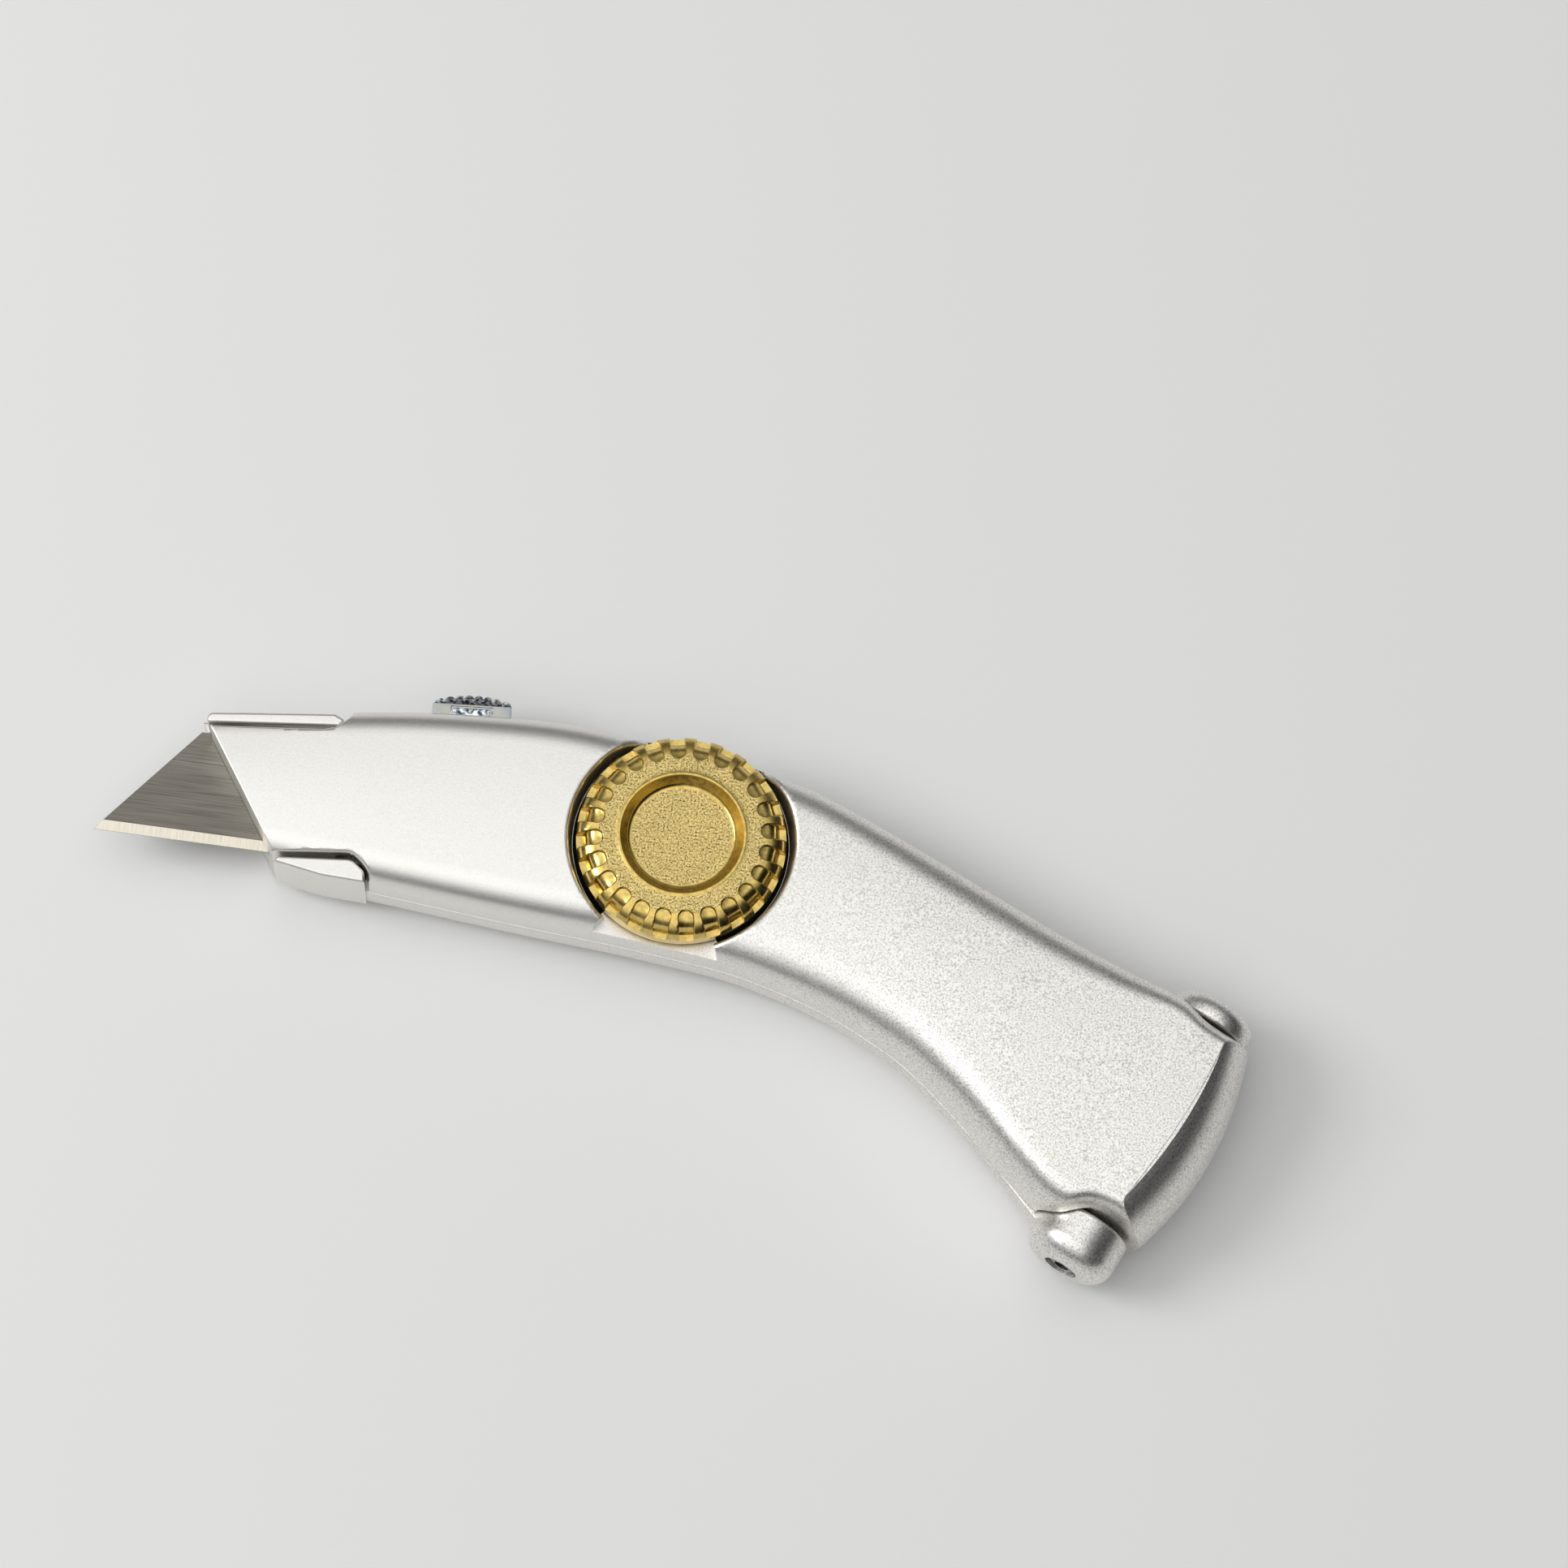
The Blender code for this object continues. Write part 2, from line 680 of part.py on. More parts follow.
def hinge_screw(name, span, outward, dog_to):
    """A headless hex-socket pivot screw: threaded in the ear, plain where the bar turns.

    outward is -1 or 1 along the hinge line, and dog_to is where its plain end stops.
    """
    inner, outer = (span[1] - GAP, span[0] + GAP) if outward < 0 else (span[0] + GAP, span[1] - GAP)
    thread_r, dog_r, lead = 2.6, 1.9, 0.4
    socket_r, socket_depth = 1.45, 2.4
    shoulder, end = abs(dog_to - inner), abs(dog_to - outer)
    profile = (
        (0, end),
        (thread_r - lead, end),
        (thread_r, end - lead),
        (thread_r, shoulder),
        (dog_r, shoulder),
        (dog_r, 0.3),
        (dog_r - 0.3, 0),
        (0, 0),
    )
    direction = Vector((*HINGE_DIR, 0)) * outward
    foot = hinge_point(0, dog_to, PARTING_Z)
    screw = turned(name, profile, PARTS, SCREW_STEEL, steps=24, at=foot, along=direction)
    mouth = hinge_point(0, outer, PARTING_Z)
    ends = mouth - direction * socket_depth, mouth + direction
    return cut(screw, cylinder(name + "_hex", socket_r, *ends, CUTTERS, sides=6))


# Knob --------------------------------------------------------------------------------


def knob_profile():
    return (
        (0, DISH_Z),
        (DISH_R, DISH_Z),
        (DISH_RIM_R, KNOB_FACE_Z),
        (KNOB_R - 2.6, KNOB_FACE_Z),
        (KNOB_R - 0.9, KNOB_FACE_Z - 0.8),
        (KNOB_R, KNOB_FACE_Z - 2.2),
        (KNOB_R, KNOB_BASE_Z),
        (KNOB_HOLLOW[1], KNOB_BASE_Z),
        (KNOB_HOLLOW[1], KNOB_HOLLOW[2]),
        (KNOB_HOLLOW[0], KNOB_HOLLOW[2]),
        (KNOB_HOLLOW[0], KNOB_BASE_Z + 1.0),
        (STUD_R + GAP, KNOB_BASE_Z + 1.0),
        (STUD_R + GAP, STUD_SEAT_Z),
        (0, STUD_SEAT_Z),
    )


def flutes():
    """Cutters: the flutes round the knob, each stepping down to a ledge."""
    form = bmesh.new()
    side = (
        (FLUTE_IN_R, KNOB_FACE_Z + 2),
        (FLUTE_IN_R, KNOB_FACE_Z - 0.6),
        (15.3, KNOB_FACE_Z - 1.0),
        (16.2, LEDGE_Z),
        (KNOB_R + 3, LEDGE_Z),
        (KNOB_R + 3, KNOB_FACE_Z + 2),
    )
    for k in range(FLUTES):
        turn = Matrix.Rotation(2 * pi * k / FLUTES, 4, "Z")
        near = [form.verts.new(turn @ Vector((r, -FLUTE_WIDTH / 2, z))) for r, z in side]
        far = [form.verts.new(turn @ Vector((r, FLUTE_WIDTH / 2, z))) for r, z in side]
        form.faces.new(near)
        form.faces.new(far[::-1])
        for i in range(len(side)):
            j = (i + 1) % len(side)
            form.faces.new((near[i], far[i], far[j], near[j]))
    return mesh_object("flutes", form, CUTTERS)


def knob():
    made = turned("knob", knob_profile(), PARTS, ANTIQUE_BRASS, steps=72)
    return cut(made, flutes())


def clamp_stud():
    """The knob's threaded stud, with a groove for the clip that keeps it in the cover."""
    profile = (
        (0, STUD_SEAT_Z - GAP),
        (STUD_R, STUD_SEAT_Z - GAP),
        (STUD_R, STUD_GROOVE_Z[1]),
        (STUD_GROOVE_R, STUD_GROOVE_Z[1]),
        (STUD_GROOVE_R, STUD_GROOVE_Z[0]),
        (STUD_R, STUD_GROOVE_Z[0]),
        (STUD_R, STUD_END_Z + 0.6),
        (STUD_R - 0.6, STUD_END_Z),
        (0, STUD_END_Z),
    )
    return turned("clamp_stud", profile, PARTS, SCREW_STEEL, steps=24)


def retaining_clip():
    inner, outer = STUD_GROOVE_R + GAP, 4.8
    low, high = STUD_GROOVE_Z[0] + GAP, STUD_GROOVE_Z[1] - GAP
    profile = ((inner, high), (outer, high), (outer, low), (inner, low))
    clip = turned("retaining_clip", profile, PARTS, SPRING_STEEL, steps=32)
    return cut(clip, block("clip_gap", (0, 8), (-1.6, 1.6), (low - 1, high + 1), CUTTERS))


def knob_washer():
    top, bottom = KNOB_BASE_Z + 0.7, RECESS_FLOOR_Z + GAP
    profile = ((STUD_R + 0.4, top), (6.2, top), (6.2, bottom), (STUD_R + 0.4, bottom))
    return turned("knob_washer", profile, PARTS, SPRING_STEEL, steps=32)


def threaded_insert():
    """The brass nut in the far half. Its bore stands for a thread and clears the stud."""
    low, high = FLOOR + GAP, INSERT_TOP_Z
    profile = ((INSERT_BORE_R, high), (INSERT_R, high), (INSERT_R, low), (INSERT_BORE_R, low))
    return turned("threaded_insert", profile, PARTS, INSERT_BRASS, steps=32)


# Blade, carrier and button -----------------------------------------------------------


def blade_outline(grow=0.0):
    x, y = BLADE_TIP
    middle = x + BLADE_LENGTH / 2
    long_half, short_half = BLADE_LENGTH / 2 + grow, BLADE_LENGTH / 2 - BLADE_SLANT + grow
    return (
        (middle - long_half, y - grow),
        (middle + long_half, y - grow),
        (middle + short_half, y + BLADE_HEIGHT + grow),
        (middle - short_half, y + BLADE_HEIGHT + grow),
    )


def sharpened(obj):
    """Bevels both sides of the long edge with the cutters of a ground edge."""
    x, y = BLADE_TIP
    half = BLADE_THICK / 2
    outside = 2.0
    for side, sign in (("near", 1), ("far", -1)):
        outline = (
            (y - 0.01, PARTING_Z + sign * EDGE_LAND),
            (y + GRIND_WIDTH, PARTING_Z + sign * (half + 0.02)),
            (y + GRIND_WIDTH, PARTING_Z + sign * outside),
            (y - 1, PARTING_Z + sign * outside),
            (y - 1, PARTING_Z + sign * EDGE_LAND),
        )
        ends = (x - outside, x + BLADE_LENGTH + outside)
        rings = [[Vector((end, py, pz)) for py, pz in outline] for end in ends]
        cut(obj, loft(f"{obj.name}_grind_{side}", rings, CUTTERS))
    return obj


def notches(obj):
    """The two notches in the blade's back."""
    middle = BLADE_TIP[0] + BLADE_LENGTH / 2
    top = BLADE_TIP[1] + BLADE_HEIGHT
    half = NOTCH_WIDTH / 2
    y = (top - NOTCH_DEPTH, top + 2)
    z = (PARTING_Z - 3, PARTING_Z + 3)
    for at in (middle - NOTCH_X, middle + NOTCH_X):
        cut(obj, block(f"{obj.name}_notch", (at - half, at + half), y, z, CUTTERS))
    return obj


def blade_plate(name):
    half = BLADE_THICK / 2
    z = PARTING_Z - half, PARTING_Z + half
    return plate(name, blade_outline(), *z, PARTS, BLADE_STEEL)


def blade():
    return notches(sharpened(blade_plate("blade")))


def spare_blade(number):
    """A spare, laid in the store: the same shape, turned and dropped to its place."""
    made = notches(blade_plate(f"spare_blade_{number + 1}"))
    height = STORE_FLOOR_Z + GAP + BLADE_THICK / 2 + number * SPARE_PITCH
    x, y = BLADE_TIP
    centre = Vector((x + BLADE_LENGTH / 2, y + BLADE_HEIGHT / 2, PARTING_Z)) * MM
    target = Vector((*STORE_AT, height)) * MM
    turn = Matrix.Rotation(atan2(STORE_DIR[1], STORE_DIR[0]), 4, "Z")
    moved = Matrix.Translation(target) @ turn @ Matrix.Translation(-centre)
    bpy.context.view_layer.update()
    for step in made.modifiers:
        step.object.matrix_world = moved @ step.object.matrix_world
    made.matrix_world = moved
    return made


def blade_carrier():
    """The slider that holds the blade by a lug in its rear notch, and the button's stem."""
    made = plate("blade_carrier", CARRIER, *CARRIER_Z, PARTS, CARRIER_ZINC)
    lug_at = BLADE_TIP[0] + BLADE_LENGTH / 2 + NOTCH_X, 8.3
    lug = cylinder("blade_lug", 1.05, (*lug_at, 6), (*lug_at, 10.0), CUTTERS, sides=20)
    play = 0.3
    stem_x = STEM_X[0] - play, STEM_X[1] + play
    pocket = block("stem_pocket", stem_x, (6.9, 14), (5.9, 12), CUTTERS)
    pin_x = PIN_AT[0] - 1.1, PIN_AT[0] + 1.1
    pin_slot = block("pin_slot", pin_x, (8.1, 14.3), (4.4, 7), CUTTERS)
    groove_y = -RAIL_HALF_WIDTH - 0.4, RAIL_HALF_WIDTH + 0.4
    groove = block("rail_groove", (-70, -20), groove_y, (3.0, 3.9), CUTTERS)
    return cut(join(made, lug), pocket, pin_slot, groove)


def slide_rail():
    y = (-RAIL_HALF_WIDTH, RAIL_HALF_WIDTH)
    made = block("slide_rail", RAIL_X, y, RAIL_Z, PARTS, SPRING_STEEL)
    for k, x in enumerate(RAIL_SCREW_X):
        cut(made, cylinder(f"rail_hole_{k}", 2.2, (x, 0, 0), (x, 0, 5), CUTTERS, sides=24))
    return made


def small_screw(name, at, head_z, head_r, shank_r, tip_z):
    """A screw with a flat head, a slot across it and a plain shank."""
    profile = (
        (0, head_z[1]),
        (head_r, head_z[1]),
        (head_r, head_z[0]),
        (shank_r, head_z[0]),
        (shank_r, tip_z + 0.3),
        (shank_r - 0.3, tip_z),
        (0, tip_z),
    )
    made = turned(name, profile, PARTS, SCREW_STEEL, steps=20, at=(*at, 0))
    half_slot, reach = 0.3, 6
    x = at[0] - half_slot, at[0] + half_slot
    y = at[1] - reach, at[1] + reach
    return cut(made, block(name + "_slot", x, y, (head_z[1] - 0.35, head_z[1] + 2), CUTTERS))


def button_outline():
    """The button's side view: a block that follows the body's slope, under a row of bumps."""
    left, right = BUTTON_X
    rise = BUTTON_SLOPE * (right - left)
    points = [(left, BUTTON_BOTTOM_Y), (right, BUTTON_BOTTOM_Y + rise)]
    points.append((right, BUTTON_BOTTOM_Y + rise + BUTTON_SIDE))
    middle = (left + right) / 2
    crown_half = 6.6
    start = middle + BUMPS * BUMP_PITCH / 2
    for k in range(2 * BUMPS + 1):
        x = start - k * BUMP_PITCH / 2
        crown = BUTTON_CROWN * (1 - ((x - middle) / crown_half) ** 2)
        side_top = BUTTON_BOTTOM_Y + BUTTON_SLOPE * (x - left) + BUTTON_SIDE
        bump = BUMP_HEIGHT if k % 2 else 0.0
        points.append((x, side_top + GAP + crown + bump))
    points.append((left, BUTTON_BOTTOM_Y + BUTTON_SIDE))
    return points


def thumb_button():
    made = plate("thumb_button", button_outline(), *BUTTON_Z, PARTS, PLATED_ZINC)
    stem = block("button_stem", STEM_X, (9.4, 18.0), STEM_Z, CUTTERS)
    ends = (*PIN_AT, 4), (*PIN_AT, 12)
    return cut(join(made, stem), cylinder("stem_bore", 1.1, *ends, CUTTERS, sides=20))


def button_pin():
    ends = (*PIN_AT, 4.7), (*PIN_AT, 8.8)
    return cylinder("button_pin", 0.8, *ends, PARTS, SCREW_STEEL, sides=20)


def coil_path(radius, low, high, turns, per_turn):
    points = []
    count = round(turns * per_turn)
    for k in range(count + 1):
        angle = 2 * pi * k / per_turn
        points.append((radius * cos(angle), low + (high - low) * k / count, radius * sin(angle)))
    return points


def button_spring():
    """A small coil under the button's stem, along Y."""
    data = bpy.data.curves.new("button_spring", "CURVE")
    data.dimensions = "3D"
    data.bevel_depth = 0.18 * MM
    data.bevel_resolution = 2
    data.use_fill_caps = True
    path = coil_path(0.75, 7.4, 9.0, 3, 12)
    spline = data.splines.new("POLY")
    spline.points.add(len(path) - 1)
    for point, (x, y, z) in zip(spline.points, path):
        point.co = (*(Vector((x + PIN_AT[0], y, z + sum(STEM_Z) / 2)) * MM), 1.0)
    return place(bpy.data.objects.new("button_spring", data), PARTS, SPRING_STEEL)


# Blade store -------------------------------------------------------------------------


def store_outline(grow):
    """The blade's outline, grown and laid at the store's place."""
    x, y = BLADE_TIP
    centre = Vector((x + BLADE_LENGTH / 2, y + BLADE_HEIGHT / 2))
    along = Vector(STORE_DIR)
    up = Vector((-along.y, along.x))
    placed = []
    for point in blade_outline(grow):
        offset = Vector(point) - centre
        placed.append(Vector(STORE_AT) + along * offset.x + up * offset.y)
    return placed


def blade_store():
    made = plate("blade_store", store_outline(1.2), *STORE_Z, PARTS, STORE_PLASTIC)
    return cut(made, plate("store_pocket", store_outline(0.4), STORE_FLOOR_Z, 12, CUTTERS))


def store_clip():
    """The spring strip that holds the spare blades down, fixed to its post by a screw."""
    start, end = Vector(CLIP_POST), Vector(CLIP_END)
    along = (end - start).normalized()
    half_width, overhang = 3.0, 2.6
    side = Vector((-along.y, along.x)) * half_width
    start = start - along * overhang
    outline = (start - side, end - side, end + side, start + side)
    made = plate("store_clip", outline, *CLIP_Z, PARTS, SPRING_STEEL)
    hole_ends = (*CLIP_POST, 6), (*CLIP_POST, 10)
    return cut(made, cylinder("clip_hole", 1.3, *hole_ends, CUTTERS, sides=20))


# Assembly ----------------------------------------------------------------------------


def build():
    rear_case()
    threaded_insert()
    hinge_screw("hinge_screw_lower", LOWER_EAR, -1, 11.6)
    hinge_screw("hinge_screw_upper", UPPER_EAR, 1, 35.8)
    slide_rail()
    for place_name, x in zip(("front", "rear"), RAIL_SCREW_X):
        small_screw(f"rail_screw_{place_name}", (x, 0), (2.6, 3.3), 1.9, 1.1, 1.0)
    blade_store()
    for number in range(SPARES):
        spare_blade(number)
    store_clip()
    small_screw("clip_screw", CLIP_POST, (9.65, 10.5), 2.2, 1.0, 3.4)

    cover = pivot("cover_hinge", (*HINGE_AT, PARTING_Z))
    lift = pivot("knob_lift", (0, 0, KNOB_BASE_Z))
    turn = pivot("knob_turn", (0, 0, KNOB_BASE_Z))
    slide = pivot("blade_slide", (-50, 0, PARTING_Z))
    press = pivot("button_press", (PIN_AT[0], 18, PARTING_Z))
    carry(cover, front_case(), lift)
    carry(lift, knob_washer(), turn)
    carry(turn, knob(), clamp_stud(), retaining_clip())
    carry(slide, blade_carrier(), blade(), press)
    carry(press, thumb_button(), button_pin(), button_spring())


build()
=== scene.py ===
"""Utility knife: the finished surfaces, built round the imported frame.

Two die-cast body halves, a fluted brass-plated clamping knob, a plated thumb button, the
trapezoid blade and its slide, and the store of spare blades inside the handle.

Frame: +X along the blade's edge towards the tail, +Y towards the thumb button, +Z towards
the knob, origin on the knob's axis on the flat outside of the far half. Dimensions are in
millimetres and MM turns them into Blender's metres.
"""

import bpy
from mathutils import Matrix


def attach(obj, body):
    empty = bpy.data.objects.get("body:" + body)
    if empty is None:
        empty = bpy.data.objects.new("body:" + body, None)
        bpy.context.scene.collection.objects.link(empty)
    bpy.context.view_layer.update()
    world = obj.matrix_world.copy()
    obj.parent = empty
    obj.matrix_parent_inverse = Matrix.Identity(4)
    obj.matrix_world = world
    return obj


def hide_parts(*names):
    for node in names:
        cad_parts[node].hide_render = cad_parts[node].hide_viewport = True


bl_info = {
    "name": "Utility Knife",
    "version": (1, 0, 0),
    "blender": (4, 5, 0),
    "location": "View3D > Sidebar > Utility Knife",
    "description": "Adds the finished pieces of a die-cast utility knife to its frame",
    "category": "Add Mesh",
}

from math import asin, atan2, cos, degrees, pi, radians, sin, sqrt, tan

import bmesh
import bpy
from bpy.props import FloatProperty, FloatVectorProperty, IntProperty, PointerProperty
from bpy.types import Operator, Panel, PropertyGroup
from mathutils import Matrix, Vector
from mathutils.bvhtree import BVHTree

MM = 0.001

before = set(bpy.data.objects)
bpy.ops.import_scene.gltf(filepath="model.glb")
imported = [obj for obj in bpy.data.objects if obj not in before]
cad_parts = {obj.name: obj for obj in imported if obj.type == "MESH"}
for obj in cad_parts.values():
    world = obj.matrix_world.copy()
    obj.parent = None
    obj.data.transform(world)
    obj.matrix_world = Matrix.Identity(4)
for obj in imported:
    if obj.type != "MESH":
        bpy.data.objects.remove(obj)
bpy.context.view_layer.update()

# Sizes that the frame fixes ---------------------------------------------------------------

GAP = 0.3
PARTING_Z = 9.5
WALL_STRAIGHT = 3.6  # straight height of the side walls, each way from the parting plane
WALL = 2.2
TOP_RAIL = 4.3
RAIL_FADES = (6.0, 7.5)
FLOOR = 2.0

BLADE_LENGTH = 61.5
BLADE_HEIGHT = 19.1
BLADE_SLANT = 15.2
BLADE_THICK = 0.6
BLADE_TIP = (-97.0, -9.2)
NOTCH_X = 6.5
NOTCH_WIDTH = 2.8
NOTCH_DEPTH = 2.9
GRIND_WIDTH = 1.75
EDGE_LAND = 0.05

KNOB_R = 17.4
KNOB_BASE_Z = 15.6
KNOB_FACE_Z = 21.3
DISH_R = 9.0
DISH_RIM_R = 10.3
DISH_Z = KNOB_FACE_Z - 1.8
FLUTE_WIDTH = 2.4
FLUTE_IN_R = 13.1
LAND_FLAT_R = 13.3
LAND_DEPTH = 2.9
LEDGE_Z = KNOB_BASE_Z + 2.0
KNOB_HOLLOW = (6.5, 13.4, 17.2)
RECESS_R = 18.4
RECESS_FOOT_R = 18.0
RECESS_FLOOR_Z = 15.0
RECESS_OPEN = (-127, -66)  # degrees between which the recess runs out through the lower side
CUP_WALL = 2.2
CUP_FLOOR = 1.6
STUD_R = 3.0
STUD_SEAT_Z = 16.9
STUD_GROOVE_R = 2.2
STUD_GROOVE_Z = (9.1, 10.3)
STUD_END_Z = 2.9
INSERT_R = 4.6
INSERT_BORE_R = 3.5
INSERT_TOP_Z = 5.8
INSERT_BOSS_R = 5.9

HINGE_AT = (72.4, -57.4)
HINGE_DIR = (0.4165, 0.9091)
EAR_R = 7.7
EAR_BORE_R = 2.9
DOG_BORE_R = 2.3
LOWER_EAR = (-4.2, 4.5)
UPPER_EAR = (42.9, 47.3)
TAIL_SPAN = (5.0, 42.4)
TAIL_CLEAR_R = 13.3
BARREL_OUT = 12.0
BARREL_MIDDLE = 22.5
BARREL_BULGE_R = 55.0
CREASE_OUT = 5.8
CREASE_MIDDLE = 25.5
CREASE_BULGE_R = 75.0
CREASE_Z = 21.0
BARREL_TOP = 12.6
BARREL_BOTTOM = 8.9

BUTTON_X = (-44.2, -31.1)
BUTTON_Z = (5.3, 13.7)
BUTTON_BOTTOM_Y = 17.0
BUTTON_SLOPE = 0.076
BUTTON_SIDE = 2.25
BUTTON_CROWN = 1.1
BUMP_HEIGHT = 0.6
STEM_X = (-41.0, -36.0)
STEM_Z = (6.3, 8.9)
PIN_AT = (-38.5, 10.4)
CHANNEL_END_X = 4.0
CHANNEL_FLOOR_Y = 15.7

RAIL_SCREW_X = (-55.0, -14.0)
RAIL_BORE_R = 1.4
STORE_AT = (40.1, -13.0)
STORE_DIR = (0.885, -0.465)
SPARES = 5
SPARE_PITCH = 0.85
STORE_FLOOR_Z = 4.4
CLIP_POST = (17.5, 3.5)
CLIP_POST_TOP_Z = 8.6
CLIP_POST_R = 2.6
CLIP_POST_BORE_R = 1.3

# Outline of both halves at the parting plane, as matching points on the lower and upper
# edges from nose to tail: lower x, y, upper x, y, then the near face's height and the
# widths of its lower and upper rounded edges.
STATIONS = (
    (-88.0, -10.4, -90.0, 10.9, 18.2, 5.2, 5.2),
    (-66.0, -12.4, -68.0, 13.6, 18.3, 5.2, 5.2),
    (-50.9, -13.8, -52.0, 16.2, 18.5, 5.4, 5.4),
    (-37.0, -15.1, -37.7, 17.7, 18.7, 5.6, 5.6),
    (-23.3, -16.3, -21.5, 18.3, 19.0, 5.8, 5.8),
    (-9.6, -17.3, -6.5, 17.0, 19.3, 6.0, 6.0),
    (0.5, -18.3, 4.0, 16.0, 19.5, 6.4, 6.2),
    (9.7, -19.4, 13.5, 14.3, 19.6, 7.2, 6.4),
    (18.5, -21.4, 22.5, 11.8, 19.8, 8.0, 6.6),
    (28.2, -24.6, 33.5, 7.35, 20.1, 8.6, 6.8),
    (35.0, -27.8, 43.0, 3.1, 20.4, 8.6, 7.0),
    (42.1, -31.9, 52.5, -1.3, 20.7, 8.2, 7.0),
    (51.6, -39.7, 64.8, -6.9, 21.0, 7.4, 6.6),
    (60.2, -48.1, 76.0, -11.5, 21.2, 6.2, 5.6),
)
NEAR_TAIL = (
    (67.8, -53.6, 85.6, -15.2, 21.3, 4.6, 4.2),
    (75.4, -53.3, 91.0, -19.3, 21.4, 3.6, 3.4),
    (89.0, -59.5, 104.6, -25.5, 21.4, 3.6, 3.4),
)
FAR_TAIL = (
    (66.0, -54.0, 83.2, -13.3, 21.2, 5.6, 5.2),
    (69.6, -57.2, 87.6, -14.5, 21.2, 5.2, 5.2),
)
ROWS_A_STATION = 8
ARC_STEPS = 12
CROWN_STEPS = 6
FACE_CROWN = 0.22  # the faces swell a little, as flat castings are never left flat
SOFTNESS = 2.25  # above 2 the rounded edge runs into the flats without a visible line

NOSE_LOWER = (-66.3, -11.3)
NOSE_UPPER = (-80.1, 9.1)
HOLLOW_FROM = 11.0
HOLLOW_ROWS_FAR = (1.0, 14.9)
HOLLOW_ROWS_NEAR = (1.0, 13.6)

# Plan outlines as x, y and the radius of the corner there
LIP_NOTCH = (
    (-95.0, 7.6, 0),
    (-79.5, 8.8, 0),
    (-61.1, 10.7, 2),
    (-59.1, 11.4, 2.5),
    (-57.0, 13.9, 2.5),
    (-56.4, 19.0, 0),
    (-95.0, 19.0, 0),
)
BLOCK_NOTCH = (
    (-80.0, -12.2, 0),
    (-66.1, -11.0, 0),
    (-53.3, -9.7, 2.5),
    (-50.2, -12.2, 3),
    (-49.6, -20.0, 0),
    (-80.0, -20.0, 0),
)
LIP = (
    (-81.0, 10.0, 0.9),
    (-80.7, 11.85, 0.9),
    (-75.1, 12.6, 6),
    (-59.9, 14.5, 1.2),
    (-57.9, 13.6, 0.8),
    (-59.0, 12.45, 0.7),
    (-74.8, 10.7, 6),
)
LIP_TOP_Z = 15.4
BLOCK = (
    (-66.0, -12.6, 0),
    (-65.6, -11.6, 0.5),
    (-53.4, -10.4, 2.4),
    (-51.0, -12.2, 1.5),
    (-50.7, -14.2, 0),
    (-58.0, -13.9, 0),
)
BLOCK_TOP_Z = 16.6
WRAP_FOOT_Z = 4.0


# Settings that a user may change ----------------------------------------------------------


def linear(code):
    """An sRGB hex colour as Blender's linear red, green, blue and alpha."""
    channels = [int(code[i : i + 2], 16) / 255 for i in (1, 3, 5)]
    return (*[c / 12.92 if c <= 0.04045 else ((c + 0.055) / 1.055) ** 2.4 for c in channels], 1.0)


def colour(name, description, code):
    return FloatVectorProperty(
        name=name, description=description, subtype="COLOR", size=4, min=0, max=1, default=linear(code)
    )


def length(name, description, millimetres):
    return FloatProperty(name=name, description=description, unit="LENGTH", default=millimetres * MM)


class KnifeSizes(PropertyGroup):
    rim_round: length("Recess rim", "Radius of the rounded rim of the knob's recess", 0.75)
    edge_round: length("Casting edge", "Radius of the castings' other outside edges", 0.35)
    crease_round: length("Tail crease", "Radius of the crease where the near face ends", 0.7)
    flute_edge: length("Flute edge", "Radius of the rolled edge round each flute", 0.32)
    flutes: IntProperty(name="Flutes", description="Flutes round the knob", default=24, min=6, max=48)
    bumps: IntProperty(name="Bumps", description="Bumps on the thumb button", default=8, min=3, max=12)


class KnifeFinishes(PropertyGroup):
    lacquer: colour("Lacquered zinc", "Silver lacquer on the die-cast halves", "#e9e7e2")
    brass: colour("Brass plating", "Polished edges of the knob", "#dcc070")
    patina: colour("Brass patina", "Darkened grain of the knob's flat faces", "#6b5a2b")
    plating: colour("Zinc plating", "Bright plating of the thumb button", "#a6aaab")
    blade: colour("Blade steel", "Ground sides of the blades", "#7e7a72")
    ground: colour("Ground edge", "Freshly ground bevel of the blades", "#d9d2c2")
    spring: colour("Spring steel", "Pressed clips, washer and rail", "#b9babd")
    screw: colour("Screw steel", "Socket screws and the stud", "#8f8f90")
    cast: colour("Raw zinc", "Blade carrier as cast", "#a9aaab")
    insert: colour("Turned brass", "Threaded insert", "#d8b25e")
    plastic: colour("Black plastic", "Moulded blade store", "#1b1b1c")


# Working in Blender -----------------------------------------------------------------------


def deselect():
    if bpy.context.mode != "OBJECT":
        bpy.ops.object.mode_set(mode="OBJECT")
    bpy.ops.object.select_all(action="DESELECT")


def focus(obj):
    deselect()
    obj.select_set(True)
    bpy.context.view_layer.objects.active = obj
    return obj


def settled(name):
    """Names the object just added and applies its place, so that it sits at the origin."""
    obj = bpy.context.active_object
    obj.name = name
    obj.data.name = name
    bpy.ops.object.transform_apply(location=True, rotation=True, scale=True)
    return obj


def modify(obj, kind, **settings):
    """Adds a modifier with its settings and applies it."""
    focus(obj)
    bpy.ops.object.modifier_add(type=kind)
    step = obj.modifiers[-1]
    for key, value in settings.items():
        setattr(step, key, value)
    bpy.ops.object.modifier_apply(modifier=step.name)
    return obj


def boolean(obj, operation, *others):
    for other in others:
        modify(obj, "BOOLEAN", operation=operation, solver="EXACT", object=other)
        bpy.data.objects.remove(other, do_unlink=True)
        if len(obj.data.polygons) < 5:
            raise RuntimeError(f"a Boolean emptied {obj.name}")
    return obj


